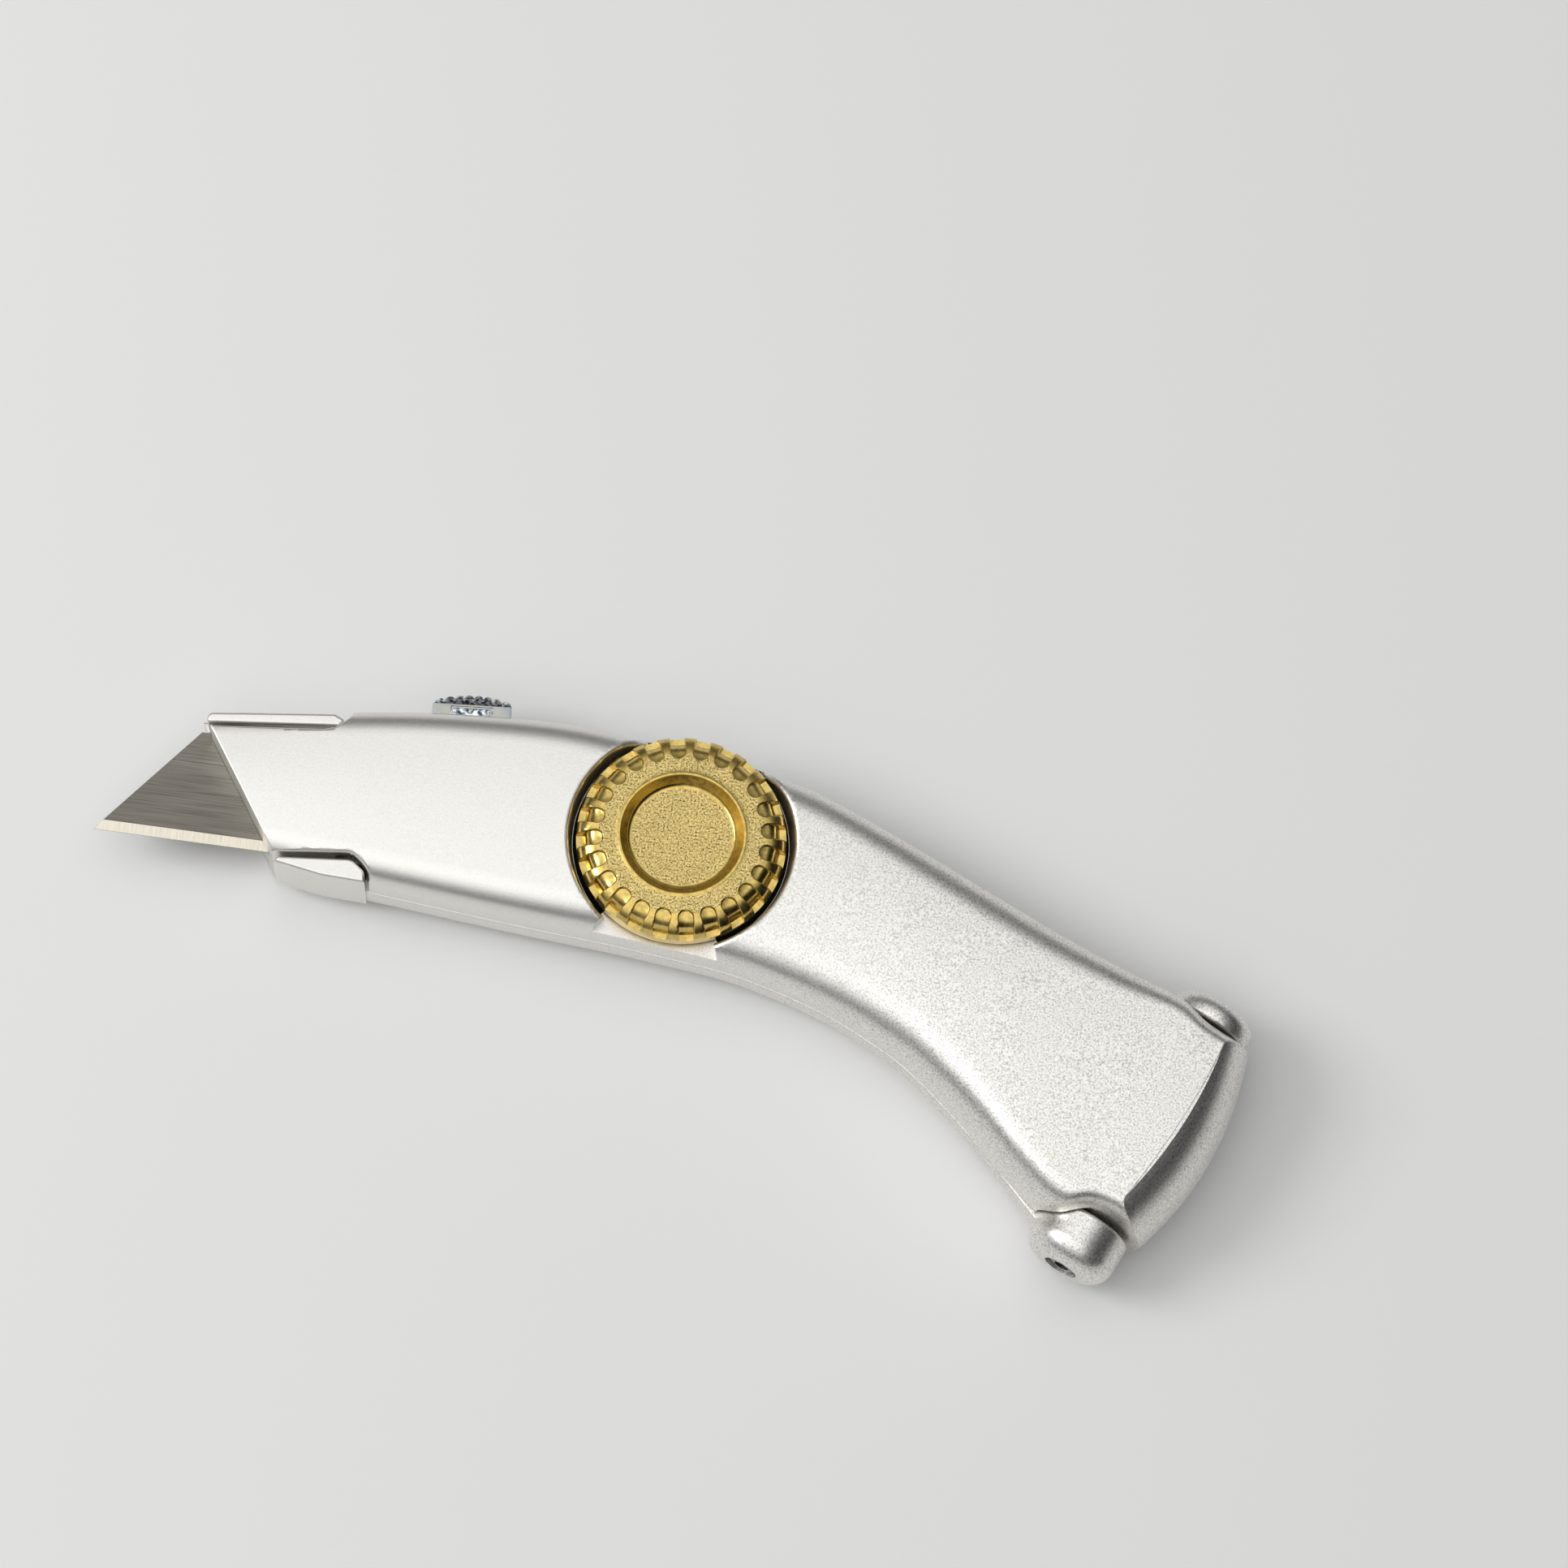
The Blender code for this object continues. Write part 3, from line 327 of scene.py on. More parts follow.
def cut(obj, *cutters):
    return boolean(obj, "DIFFERENCE", *cutters)


def join(obj, *others):
    return boolean(obj, "UNION", *others)


def edit(obj):
    focus(obj)
    bpy.ops.object.mode_set(mode="EDIT")
    bpy.ops.mesh.select_all(action="DESELECT")
    return obj


def pick(obj, kind, test):
    """In edit mode, selects the faces or edges for which test is true."""
    bpy.ops.mesh.select_mode(type=kind)
    bpy.ops.mesh.select_all(action="DESELECT")
    form = bmesh.from_edit_mesh(obj.data)
    form.normal_update()
    for item in form.faces if kind == "FACE" else form.edges:
        if test(item):
            item.select_set(True)
    form.select_flush_mode()
    bmesh.update_edit_mesh(obj.data)


def closed_up(obj, merge=0.002):
    """Merges doubled points, fills open ends and turns the faces outwards."""
    edit(obj)
    bpy.ops.mesh.select_all(action="SELECT")
    bpy.ops.mesh.remove_doubles(threshold=merge * MM)
    bpy.ops.mesh.fill_holes(sides=0)
    bpy.ops.mesh.normals_make_consistent(inside=False)
    bpy.ops.object.mode_set(mode="OBJECT")
    return obj


def bevelled(obj, width, segments=2, angle=35, clamp=True):
    """Rounds every edge sharper than an angle with the Bevel modifier."""
    return modify(
        obj,
        "BEVEL",
        width=width,
        segments=segments,
        limit_method="ANGLE",
        angle_limit=radians(angle),
        use_clamp_overlap=clamp,
        harden_normals=False,
    )


def shaded(obj, angle=32):
    """Smooth shading between sharp edges, led by the large faces."""
    focus(obj)
    bpy.ops.object.shade_smooth_by_angle(angle=radians(angle))
    return modify(obj, "WEIGHTED_NORMAL", mode="FACE_AREA", weight=80, keep_sharp=True)


def fitted(obj, look, body, slot, *nodes, angle=32):
    """Gives a finished piece its shading, finish, body and stand-in; the slot is not used."""
    shaded(obj, angle)
    if not obj.data.materials:
        obj.data.materials.append(look)
    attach(obj, body)
    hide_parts(*nodes)
    return obj


# Shapes -----------------------------------------------------------------------------------


def block(name, x, y, z):
    """A box given by its low and high values along each axis."""
    deselect()
    middle = Vector((sum(x), sum(y), sum(z))) / 2 * MM
    size = Vector((x[1] - x[0], y[1] - y[0], z[1] - z[0])) * MM
    bpy.ops.mesh.primitive_cube_add(size=1, location=middle, scale=size)
    return settled(name)


def cylinder(name, radius, start, end, sides=64):
    start, end = Vector(start) * MM, Vector(end) * MM
    deselect()
    bpy.ops.mesh.primitive_cylinder_add(
        vertices=sides,
        radius=radius * MM,
        depth=(end - start).length,
        location=(start + end) / 2,
        rotation=(end - start).to_track_quat("Z", "Y").to_euler(),
    )
    return settled(name)


def rounded(corners, steps=6):
    """A closed outline of (x, y, radius) corners as points, with an arc at each corner."""
    points = []
    count = len(corners)
    for i, (x, y, radius) in enumerate(corners):
        here = Vector((x, y))
        back = Vector(corners[i - 1][:2]) - here
        ahead = Vector(corners[(i + 1) % count][:2]) - here
        half = back.angle(ahead) / 2
        if radius <= 0 or half > 1.55:
            points.append(here)
            continue
        reach = min(radius / tan(half), 0.49 * back.length, 0.49 * ahead.length)
        radius = reach * tan(half)
        centre = here + (back.normalized() + ahead.normalized()).normalized() * radius / sin(half)
        first = here + back.normalized() * reach - centre
        last = here + ahead.normalized() * reach - centre
        sweep = atan2(first.cross(last), first.dot(last))
        for k in range(steps + 1):
            turn = Matrix.Rotation(sweep * k / steps, 2)
            points.append(centre + turn @ first)
    return points


def outline_object(name, points):
    """A flat face whose corners are the ring's points, given in 3-D."""
    deselect()
    bpy.ops.mesh.primitive_circle_add(vertices=len(points), radius=MM, fill_type="NGON")
    obj = settled(name)
    for vertex, point in zip(obj.data.vertices, points):
        vertex.co = Vector(point) * MM
    return obj


def plate(name, outline, low, high, top_round=0.0, segments=4):
    """A flat outline with a thickness from z = low to z = high, rounded at the top."""
    obj = outline_object(name, [(x, y, low) for x, y in outline])
    edit(obj)
    bpy.ops.mesh.select_all(action="SELECT")
    lift = (0, 0, (high - low) * MM)
    bpy.ops.mesh.extrude_region_move(TRANSFORM_OT_translate={"value": lift})
    bpy.ops.mesh.select_all(action="SELECT")
    bpy.ops.mesh.normals_make_consistent(inside=False)
    if top_round:
        level = (high - 0.01) * MM
        pick(obj, "EDGE", lambda edge: min(v.co.z for v in edge.verts) > level)
        bpy.ops.mesh.bevel(offset=top_round * MM, segments=segments, clamp_overlap=True)
    bpy.ops.object.mode_set(mode="OBJECT")
    return obj


def turned(name, profile, steps=64, at=(0, 0, 0), along=(0, 0, 1)):
    """A profile of (radius, height) points spun round an axis through at."""
    obj = outline_object(name, [(radius, 0, height) for radius, height in profile])
    edit(obj)
    bpy.ops.mesh.select_all(action="SELECT")
    bpy.ops.mesh.delete(type="ONLY_FACE")
    bpy.ops.mesh.select_all(action="SELECT")
    bpy.ops.mesh.spin(steps=steps, angle=2 * pi, center=(0, 0, 0), axis=(0, 0, 1))
    bpy.ops.mesh.select_all(action="SELECT")
    bpy.ops.mesh.remove_doubles(threshold=0.001 * MM)
    bpy.ops.mesh.select_all(action="SELECT")
    bpy.ops.mesh.dissolve_degenerate(threshold=0.0005 * MM)
    no_area = 1e-14
    pick(obj, "FACE", lambda face: face.calc_area() < no_area)
    bpy.ops.mesh.delete(type="FACE")
    pick(obj, "EDGE", lambda edge: not edge.link_faces)
    bpy.ops.mesh.delete(type="EDGE")
    bpy.ops.mesh.select_all(action="SELECT")
    bpy.ops.mesh.normals_make_consistent(inside=False)
    bpy.ops.object.mode_set(mode="OBJECT")
    turn = Vector(along).to_track_quat("Z", "Y").to_matrix().to_4x4()
    obj.data.transform(Matrix.Translation(Vector(at) * MM) @ turn)
    return obj


def skin(name, rings):
    """A closed skin over rings of equal length: a grid laid on the rings and capped."""
    columns, rows = len(rings[0]), len(rings)
    deselect()
    bpy.ops.mesh.primitive_grid_add(x_subdivisions=columns, y_subdivisions=rows - 1, size=1)
    obj = settled(name)
    for i, vertex in enumerate(obj.data.vertices):
        row, column = divmod(i, columns + 1)
        vertex.co = rings[row][column % columns] * MM
    return closed_up(obj)


# Body outline -----------------------------------------------------------------------------


def catmull(before, start, end, after, t):
    """One value of a smooth curve through start and end."""
    slope_in = (end - before) / 2
    slope_out = (after - start) / 2
    return (
        (2 * t**3 - 3 * t**2 + 1) * start
        + (t**3 - 2 * t**2 + t) * slope_in
        + (3 * t**2 - 2 * t**3) * end
        + (t**3 - t**2) * slope_out
    )


def station(rows, s):
    """The outline's values at a fractional row number."""
    i = min(int(s), len(rows) - 2)
    before = rows[max(i - 1, 0)]
    after = rows[min(i + 2, len(rows) - 1)]
    return [catmull(*four, s - i) for four in zip(before, rows[i], rows[i + 1], after)]


def shoulder(width, rise, steps=ARC_STEPS):
    """Points (inward, up) of a rounded edge that runs softly into its wall and its flat."""
    power = 2 / SOFTNESS
    points = []
    for k in range(steps + 1):
        angle = pi / 2 * k / steps
        points.append((width * (1 - cos(angle) ** power), rise * sin(angle) ** power))
    return points


def section(values, near, inset=0.0, rail=0.0):
    """Ring of points round one half's cross-section, like the frame's but finer."""
    x0, y0, x1, y1, face, low_round, high_round = values
    across = Vector((x1 - x0, y1 - y0, 0))
    width = across.length
    across.normalize()
    height = (face - PARTING_Z if near else PARTING_Z) - inset
    low, high = inset, width - inset - rail
    seam = 0.4  # rounding of the parting edge
    if inset:
        foot = [(0, -1.0)]
    else:
        foot = [(seam, GAP / 2), (seam * 0.3, GAP / 2 + seam * 0.3), (0, GAP / 2 + seam)]
    low_wide, high_wide = [max(wide - inset * 0.6, 1.0) for wide in (low_round, high_round)]
    rise = height - WALL_STRAIGHT
    low_arc = [(low + u, WALL_STRAIGHT + h) for u, h in shoulder(low_wide, rise)]
    high_arc = [(high - u, WALL_STRAIGHT + h) for u, h in shoulder(high_wide, rise)]
    start, end = low + low_wide, high - high_wide
    crown = []
    for k in range(1, CROWN_STEPS):
        share = k / CROWN_STEPS
        swell = 0 if inset else FACE_CROWN * 4 * share * (1 - share)
        crown.append((start + (end - start) * share, height + swell))
    ring = [(low + u, h) for u, h in foot] + low_arc + crown + high_arc[::-1]
    ring += [(high - u, h) for u, h in reversed(foot)]
    up = 1 if near else -1
    start = Vector((x0, y0, PARTING_Z))
    return [start + across * u + Vector((0, 0, up * h)) for u, h in ring]


def rail_at(s):
    """Extra thickness of the upper wall, from the nose to just past the knob."""
    first, last = RAIL_FADES
    fade = min(max((last - s) / (last - first), 0.0), 1.0)
    return (TOP_RAIL - WALL) * fade


def half_skin(name, rows, near, start, end, inset=0.0):
    count = round((end - start) * ROWS_A_STATION)
    places = [start + (end - start) * k / count for k in range(count + 1)]
    rings = [
        section(station(rows, s), near, inset, rail_at(s) if inset else 0.0)
        for s in places
    ]
    return skin(name, rings)


def slant_plate(name, back, low, high):
    """A cutter that covers all that lies ahead of the nose's slant, moved back along X."""
    overrun, depth = 13.0, Vector((60, 0))
    lower = Vector(NOSE_LOWER) + Vector((back, 0))
    upper = Vector(NOSE_UPPER) + Vector((back, 0))
    along = (upper - lower).normalized()
    foot, head = lower - along * overrun, upper + along * overrun
    return plate(name, (foot, head, head - depth, foot - depth), low, high)


def hinge_point(n, t, z):
    """The point t along the hinge line, n outwards towards the tail, at height z."""
    dx, dy = HINGE_DIR
    return Vector((HINGE_AT[0] + dx * t + dy * n, HINGE_AT[1] + dy * t - dx * n, z))


def hinge_cylinder(name, radius, t_low, t_high, sides=96):
    start, end = hinge_point(0, t_low, PARTING_Z), hinge_point(0, t_high, PARTING_Z)
    return cylinder(name, radius, start, end, sides)


def barrel_out(t):
    return BARREL_OUT - (t - BARREL_MIDDLE) ** 2 / (2 * BARREL_BULGE_R)


def crease_out(t):
    return CREASE_OUT - (t - CREASE_MIDDLE) ** 2 / (2 * CREASE_BULGE_R)


def barrel_oval(t):
    """The oval's centre and its width from centre to outline, at t along the hinge."""
    level = sqrt(1 - ((CREASE_Z - PARTING_Z) / BARREL_TOP) ** 2)
    width = (barrel_out(t) - crease_out(t)) / (1 - level)
    return barrel_out(t) - width, width


def barrel_arc(t, start, end, steps, grow=0.0):
    """Points (n, z) on the oval between two angles above the parting plane."""
    centre, width = barrel_oval(t)
    points = []
    for k in range(steps + 1):
        angle = start + (end - start) * k / steps
        height = BARREL_TOP if angle > 0 else BARREL_BOTTOM
        points.append((centre + (width + grow) * cos(angle), PARTING_Z + (height + grow) * sin(angle)))
    return points


# Rounded edges on the castings ------------------------------------------------------------


def height_over(obj):
    """A function that gives the height of the object's upper surface over a plan point."""
    corners = [vertex.co.copy() for vertex in obj.data.vertices]
    tree = BVHTree.FromPolygons(corners, [face.vertices[:] for face in obj.data.polygons])

    def height(point):
        start = Vector((point.x, point.y, 60)) * MM
        place = tree.ray_cast(start, Vector((0, 0, -1)))[0]
        return place.z / MM if place else None

    return height


def wall_edge(height, point, inward):
    """(edge point, direction along the face, direction down the wall) over a plan point."""
    near, far = 0.03, 0.45
    low, high = height(point + inward * near), height(point + inward * far)
    if low is None or high is None:
        return None
    slope = (high - low) / (far - near)
    edge = Vector((point.x, point.y, low - slope * near))
    return edge, Vector((inward.x, inward.y, slope)).normalized(), Vector((0, 0, -1))


def wall_edges(height, path, side):
    """Edges over a plan path. side is 1 where the material lies left of it, -1 right."""
    edges = []
    for i, point in enumerate(path):
        ahead = path[min(i + 1, len(path) - 1)] - path[max(i - 1, 0)]
        inward = Vector((-ahead.y, ahead.x)).normalized() * side
        edge = wall_edge(height, point, inward)
        if edge:
            edges.append(edge)
    return edges


def round_over(obj, edges, radii, steps=6):
    """Rounds an edge by cutting away what lies outside a rolling circle along it."""
    clear, lift = 0.03, 0.8
    rings = []
    for (point, along_face, down_wall), radius in zip(edges, radii):
        half = along_face.angle(down_wall) / 2
        reach = radius / tan(half)
        inward = (along_face + down_wall).normalized()
        centre = point + inward * radius / sin(half)
        face_out = -(down_wall - along_face * down_wall.dot(along_face)).normalized()
        wall_out = -(along_face - down_wall * along_face.dot(down_wall)).normalized()
        start, end = -face_out, -wall_out
        sweep = face_out.angle(wall_out)
        arc = []
        for k in range(steps + 1):
            share = 0.04 + 0.92 * k / steps
            weight_a = sin((1 - share) * sweep) / sin(sweep)
            weight_b = sin(share * sweep) / sin(sweep)
            arc.append(centre + (face_out * weight_a + wall_out * weight_b) * radius)
        face_foot = point + along_face * (reach + clear) + face_out * clear
        wall_foot = point + down_wall * (reach + clear) + wall_out * clear
        outside = [wall_foot + wall_out * lift, point - inward * lift, face_foot + face_out * lift]
        rings.append([face_foot, *arc, wall_foot, *outside])
    return cut(obj, skin("round_over", rings))


def extended(points, amount=1.5):
    """The path with its two ends carried on in a straight line."""
    first = points[0] + (points[0] - points[1]).normalized() * amount
    last = points[-1] + (points[-1] - points[-2]).normalized() * amount
    return [first, *points, last]


def resampled(points, step=0.8):
    """The path with extra points, so that no stretch is longer than step."""
    made = []
    for start, end in zip(points, points[1:]):
        count = max(1, round((end - start).length / step))
        made += [start.lerp(end, k / count) for k in range(count)]
    return [*made, points[-1]]


# Materials --------------------------------------------------------------------------------

MULTIPLIED = {"data_type": "RGBA", "blend_type": "MULTIPLY", "Factor": 1.0}


def node(tree, kind, settings=(), links=()):
    """Adds a node. settings fill its values, or a ramp's stops of (position, grey or colour),
    and links join its inputs to other sockets."""
    made = tree.nodes.new(kind)
    for key, value in dict(settings).items():
        if key == "stops":
            steps = made.color_ramp.elements
            while len(steps) < len(value):
                steps.new(0.5)
            for step, (place, tone) in zip(steps, value):
                step.position = place
                step.color = (tone, tone, tone, 1) if isinstance(tone, float) else tone
        elif key in made.inputs:
            made.inputs[key].default_value = value
        else:
            setattr(made, key, value)
    for key, socket in dict(links).items():
        tree.links.new(socket, made.inputs[key])
    return made


def metal(name, base, roughness):
    """A new metal: its shader and a position pattern input in metres."""
    made = bpy.data.materials.new(name)
    made.use_nodes = True
    tree = made.node_tree
    shader = tree.nodes["Principled BSDF"]
    shader.inputs["Base Color"].default_value = base
    shader.inputs["Metallic"].default_value = 1.0
    shader.inputs["Roughness"].default_value = roughness
    place = node(tree, "ShaderNodeTexCoord").outputs["Object"]
    return made, tree, shader, place


def grains(tree, place, size, detail=2.0, stretch=(1, 1, 1), roughness=0.5):
    """A noise whose grains are size millimetres across, drawn out along an axis."""
    scale = [1 / (size * MM * s) for s in stretch]
    moved = node(tree, "ShaderNodeMapping", {"Scale": scale}, {"Vector": place})
    return node(
        tree,
        "ShaderNodeTexNoise",
        {"Scale": 1.0, "Detail": detail, "Roughness": roughness},
        {"Vector": moved.outputs["Vector"]},
    ).outputs["Fac"]


def rough(tree, shader, source, low, high):
    """Drives the roughness by a pattern, between low and high."""
    limits = {"From Min": 0.3, "From Max": 0.7, "To Min": low, "To Max": high}
    spread = node(tree, "ShaderNodeMapRange", limits, {"Value": source})
    tree.links.new(spread.outputs["Result"], shader.inputs["Roughness"])


def relief(tree, shader, source, depth, strength=1.0):
    """Raises the surface by a pattern, depth millimetres from low to high."""
    settings = {"Strength": strength, "Distance": depth * MM}
    bump = node(tree, "ShaderNodeBump", settings, {"Height": source})
    tree.links.new(bump.outputs["Normal"], shader.inputs["Normal"])


def shade_of(base, factor):
    return (*[min(c * factor, 1.0) for c in base[:3]], 1.0)


def lacquered_zinc(looks):
    """Silver lacquer over die-cast zinc: a satin metal face with a fine sparkle of flakes."""
    base = tuple(looks.lacquer)
    made, tree, shader, place = metal("lacquered_die_cast_zinc", base, 0.36)
    # The flakes are near 0.05 mm; they are drawn 0.3 mm wide, or they would not show.
    flakes = grains(tree, place, 0.3, detail=1.0)
    stops = ((0.30, shade_of(base, 0.62)), (0.50, base), (0.70, shade_of(base, 1.16)))
    coarse = node(tree, "ShaderNodeValToRGB", {"stops": stops}, {"Fac": flakes})
    along = node(tree, "ShaderNodeSeparateXYZ", links={"Vector": place}).outputs["X"]
    # Grain and painted light: the flakes are drawn stronger towards the tail, where grazing light shows
    # them more.
    reach = {"From Min": -20 * MM, "From Max": 45 * MM, "To Min": 0.12}
    share = node(tree, "ShaderNodeMapRange", reach, {"Value": along})
    links = {"Factor": share.outputs["Result"], "B": coarse.outputs["Color"]}
    sparkle = node(tree, "ShaderNodeMix", {"data_type": "RGBA", "A": base}, links)
    tree.links.new(sparkle.outputs["Result"], shader.inputs["Base Color"])
    rough(tree, shader, grains(tree, place, 0.35), 0.31, 0.42)
    relief(tree, shader, flakes, 0.012)
    return made


def painted_gap_shade():
    """Painted shade for the narrow groove round the knob: a dark, rough and dull metal, dark because
    shade falls deep in the groove.
    """
    made, tree, shader, place = metal("painted_shade_in_knob_gap", linear("#23221f"), 0.6)
    skin_grain = grains(tree, place, 0.3)
    rough(tree, shader, skin_grain, 0.55, 0.75)
    relief(tree, shader, skin_grain, 0.02)
    return made


def brass(looks, patinated):
    """Antique brass plating. Edges and flutes are polished bright; flat faces keep a dark
    patina in the pits of the casting, which gives the eye an olive-gold speckle."""
    base = tuple(looks.brass)
    name = "antique_brass_patinated" if patinated else "antique_brass_polished"
    made, tree, shader, place = metal(name, base, 0.26)
    if patinated:
        pits = grains(tree, place, 0.3, detail=3.0, roughness=0.6)
        blotches = grains(tree, place, 2.5, detail=2.0)
        dark = tuple(looks.patina)
        mellow, pale = linear("#cbb067"), linear("#efdc9e")
        stops = ((0.36, dark), (0.46, mellow), (0.60, pale))
        speckle = node(tree, "ShaderNodeValToRGB", {"stops": stops}, {"Fac": pits})
        stops = ((0.3, 0.88), (0.7, 1.0))
        clouds = node(tree, "ShaderNodeValToRGB", {"stops": stops}, {"Fac": blotches})
        links = {"A": speckle.outputs["Color"], "B": clouds.outputs["Color"]}
        toned = node(tree, "ShaderNodeMix", MULTIPLIED, links)
        tree.links.new(toned.outputs["Result"], shader.inputs["Base Color"])
        rough(tree, shader, pits, 0.52, 0.34)
        relief(tree, shader, pits, 0.014)
    else:
        wear = grains(tree, place, 0.9, detail=3.0)
        stops = ((0.35, shade_of(base, 0.72)), (0.6, base))
        tint = node(tree, "ShaderNodeValToRGB", {"stops": stops}, {"Fac": wear})
        tree.links.new(tint.outputs["Color"], shader.inputs["Base Color"])
        rough(tree, shader, wear, 0.14, 0.26)
        relief(tree, shader, grains(tree, place, 0.5), 0.004)
    return made


def bright_plating(looks, painted_reflection):
    """Bright zinc plating: smooth and mirror-like, with a faint blue and straw bloom. The mottled version
    for the bumps and panels paints a reflection in dark blue and near-white into its colour.
    """
    base = tuple(looks.plating)
    name = "zinc_plating_painted_reflection" if painted_reflection else "bright_zinc_plating"
    made, tree, shader, place = metal(name, base, 0.2)
    bloom_and_reflection = grains(tree, place, 0.6 if painted_reflection else 3.0, detail=2.5)
    if painted_reflection:
        # Painted reflection: patches of dark blue and near-white, standing for mirrored surroundings,
        # laid into the base colour.
        stops = ((0.38, linear("#2f4a66")), (0.50, base), (0.62, linear("#eef1ee")))
    else:
        stops = ((0.38, shade_of(base, 0.85)), (0.52, base), (0.64, linear("#b3b3a6")))
    tint = node(tree, "ShaderNodeValToRGB", {"stops": stops}, {"Fac": bloom_and_reflection})
    tree.links.new(tint.outputs["Color"], shader.inputs["Base Color"])
    rough(tree, shader, bloom_and_reflection, 0.12, 0.24)
    relief(tree, shader, bloom_and_reflection, 0.05 if painted_reflection else 0.004, 0.6)
    return made


def brushed_blade(looks):
    """Hardened strip steel, ground along its length: grey with fine lengthwise streaks."""
    base = tuple(looks.blade)
    made, tree, shader, place = metal("ground_blade_steel", base, 0.3)
    # Grinding lines are near 0.02 mm apart; they are drawn 0.12 mm apart, so that they show.
    lines = grains(tree, place, 0.12, detail=3.0, stretch=(90, 1, 1))
    clouds = grains(tree, place, 3.0, detail=3.0, stretch=(3, 1, 1))
    stops = ((0.32, shade_of(base, 0.66)), (0.5, base), (0.7, shade_of(base, 1.15)))
    streaks = node(tree, "ShaderNodeValToRGB", {"stops": stops}, {"Fac": lines})
    bands = node(tree, "ShaderNodeValToRGB", {"stops": ((0.3, 0.78), (0.7, 1.0))}, {"Fac": clouds})
    links = {"A": streaks.outputs["Color"], "B": bands.outputs["Color"]}
    toned = node(tree, "ShaderNodeMix", MULTIPLIED, links)
    tree.links.new(toned.outputs["Result"], shader.inputs["Base Color"])
    rough(tree, shader, clouds, 0.27, 0.4)
    shader.inputs["Anisotropic"].default_value = 0.5
    relief(tree, shader, lines, 0.003)
    return made


def ground_edge(looks):
    """The blade's bevel, wheel-ground across the edge: bright, with short cross lines."""
    base = tuple(looks.ground)
    made, tree, shader, place = metal("wheel_ground_edge", base, 0.3)
    lines = grains(tree, place, 0.12, detail=3.0, stretch=(1, 40, 40))
    stops = ((0.3, shade_of(base, 0.78)), (0.55, base), (0.75, shade_of(base, 1.05)))
    streaks = node(tree, "ShaderNodeValToRGB", {"stops": stops}, {"Fac": lines})
    tree.links.new(streaks.outputs["Color"], shader.inputs["Base Color"])
    rough(tree, shader, lines, 0.24, 0.36)
    relief(tree, shader, lines, 0.004)
    return made


def plain_metal(name, base, roughness, grain, stretch=(1, 1, 1), depth=0.004, contrast=0.2):
    """A worked metal whose only marks are its tool lines or its casting grain."""
    base = tuple(base)
    made, tree, shader, place = metal(name, base, roughness)
    marks = grains(tree, place, grain, detail=2.5, stretch=stretch)
    stops = ((0.35, shade_of(base, 1 - contrast)), (0.6, base))
    tint = node(tree, "ShaderNodeValToRGB", {"stops": stops}, {"Fac": marks})
    tree.links.new(tint.outputs["Color"], shader.inputs["Base Color"])
    rough(tree, shader, marks, roughness * 0.85, roughness * 1.25)
    relief(tree, shader, marks, depth)
    return made


def moulded_plastic(looks):
    """Black polypropylene from an etched mould: a soft sheen broken by a fine grain."""
    made, tree, shader, place = metal("moulded_polypropylene", tuple(looks.plastic), 0.5)
    shader.inputs["Metallic"].default_value = 0.0
    shader.inputs["IOR"].default_value = 1.49
    etch = grains(tree, place, 0.25, detail=2.0)
    rough(tree, shader, etch, 0.42, 0.6)
    relief(tree, shader, etch, 0.012)
    return made


def looks_of(context):
    return context.scene.knife_finishes


def sizes_of(context):
    return context.scene.knife_sizes


# Castings ---------------------------------------------------------------------------------


def blade_slot(name):
    z = (PARTING_Z - BLADE_THICK / 2 - GAP, PARTING_Z + BLADE_THICK / 2 + GAP)
    return block(name, (-110, -48), (-9.7, 10.25), z)


def button_channel(name):
    z = (BUTTON_Z[0] - 0.4, BUTTON_Z[1] + 0.4)
    return block(name, (BUTTON_X[0] - GAP, CHANNEL_END_X), (CHANNEL_FLOOR_Y, 30), z)


def ear(name, span):
    """A hinge ear: a lug with a softly domed end, turned about the hinge line."""
    low, high = span
    outer_low = name == "lower_ear"
    soft, crisp = min(3.7, high - low - 1.5), 0.8
    low_round, high_round = (soft, crisp) if outer_low else (crisp, soft)
    profile = [(0.0, high)]
    for k in range(9):
        angle = pi / 2 * k / 8
        profile.append((EAR_R - high_round * (1 - sin(angle)), high - high_round * (1 - cos(angle))))
    for k in range(9):
        angle = pi / 2 * k / 8
        profile.append((EAR_R - low_round * (1 - cos(angle)), low + low_round * (1 - sin(angle))))
    profile.append((0.0, low))
    return turned(name, profile, 96, hinge_point(0, 0, PARTING_Z), (*HINGE_DIR, 0))


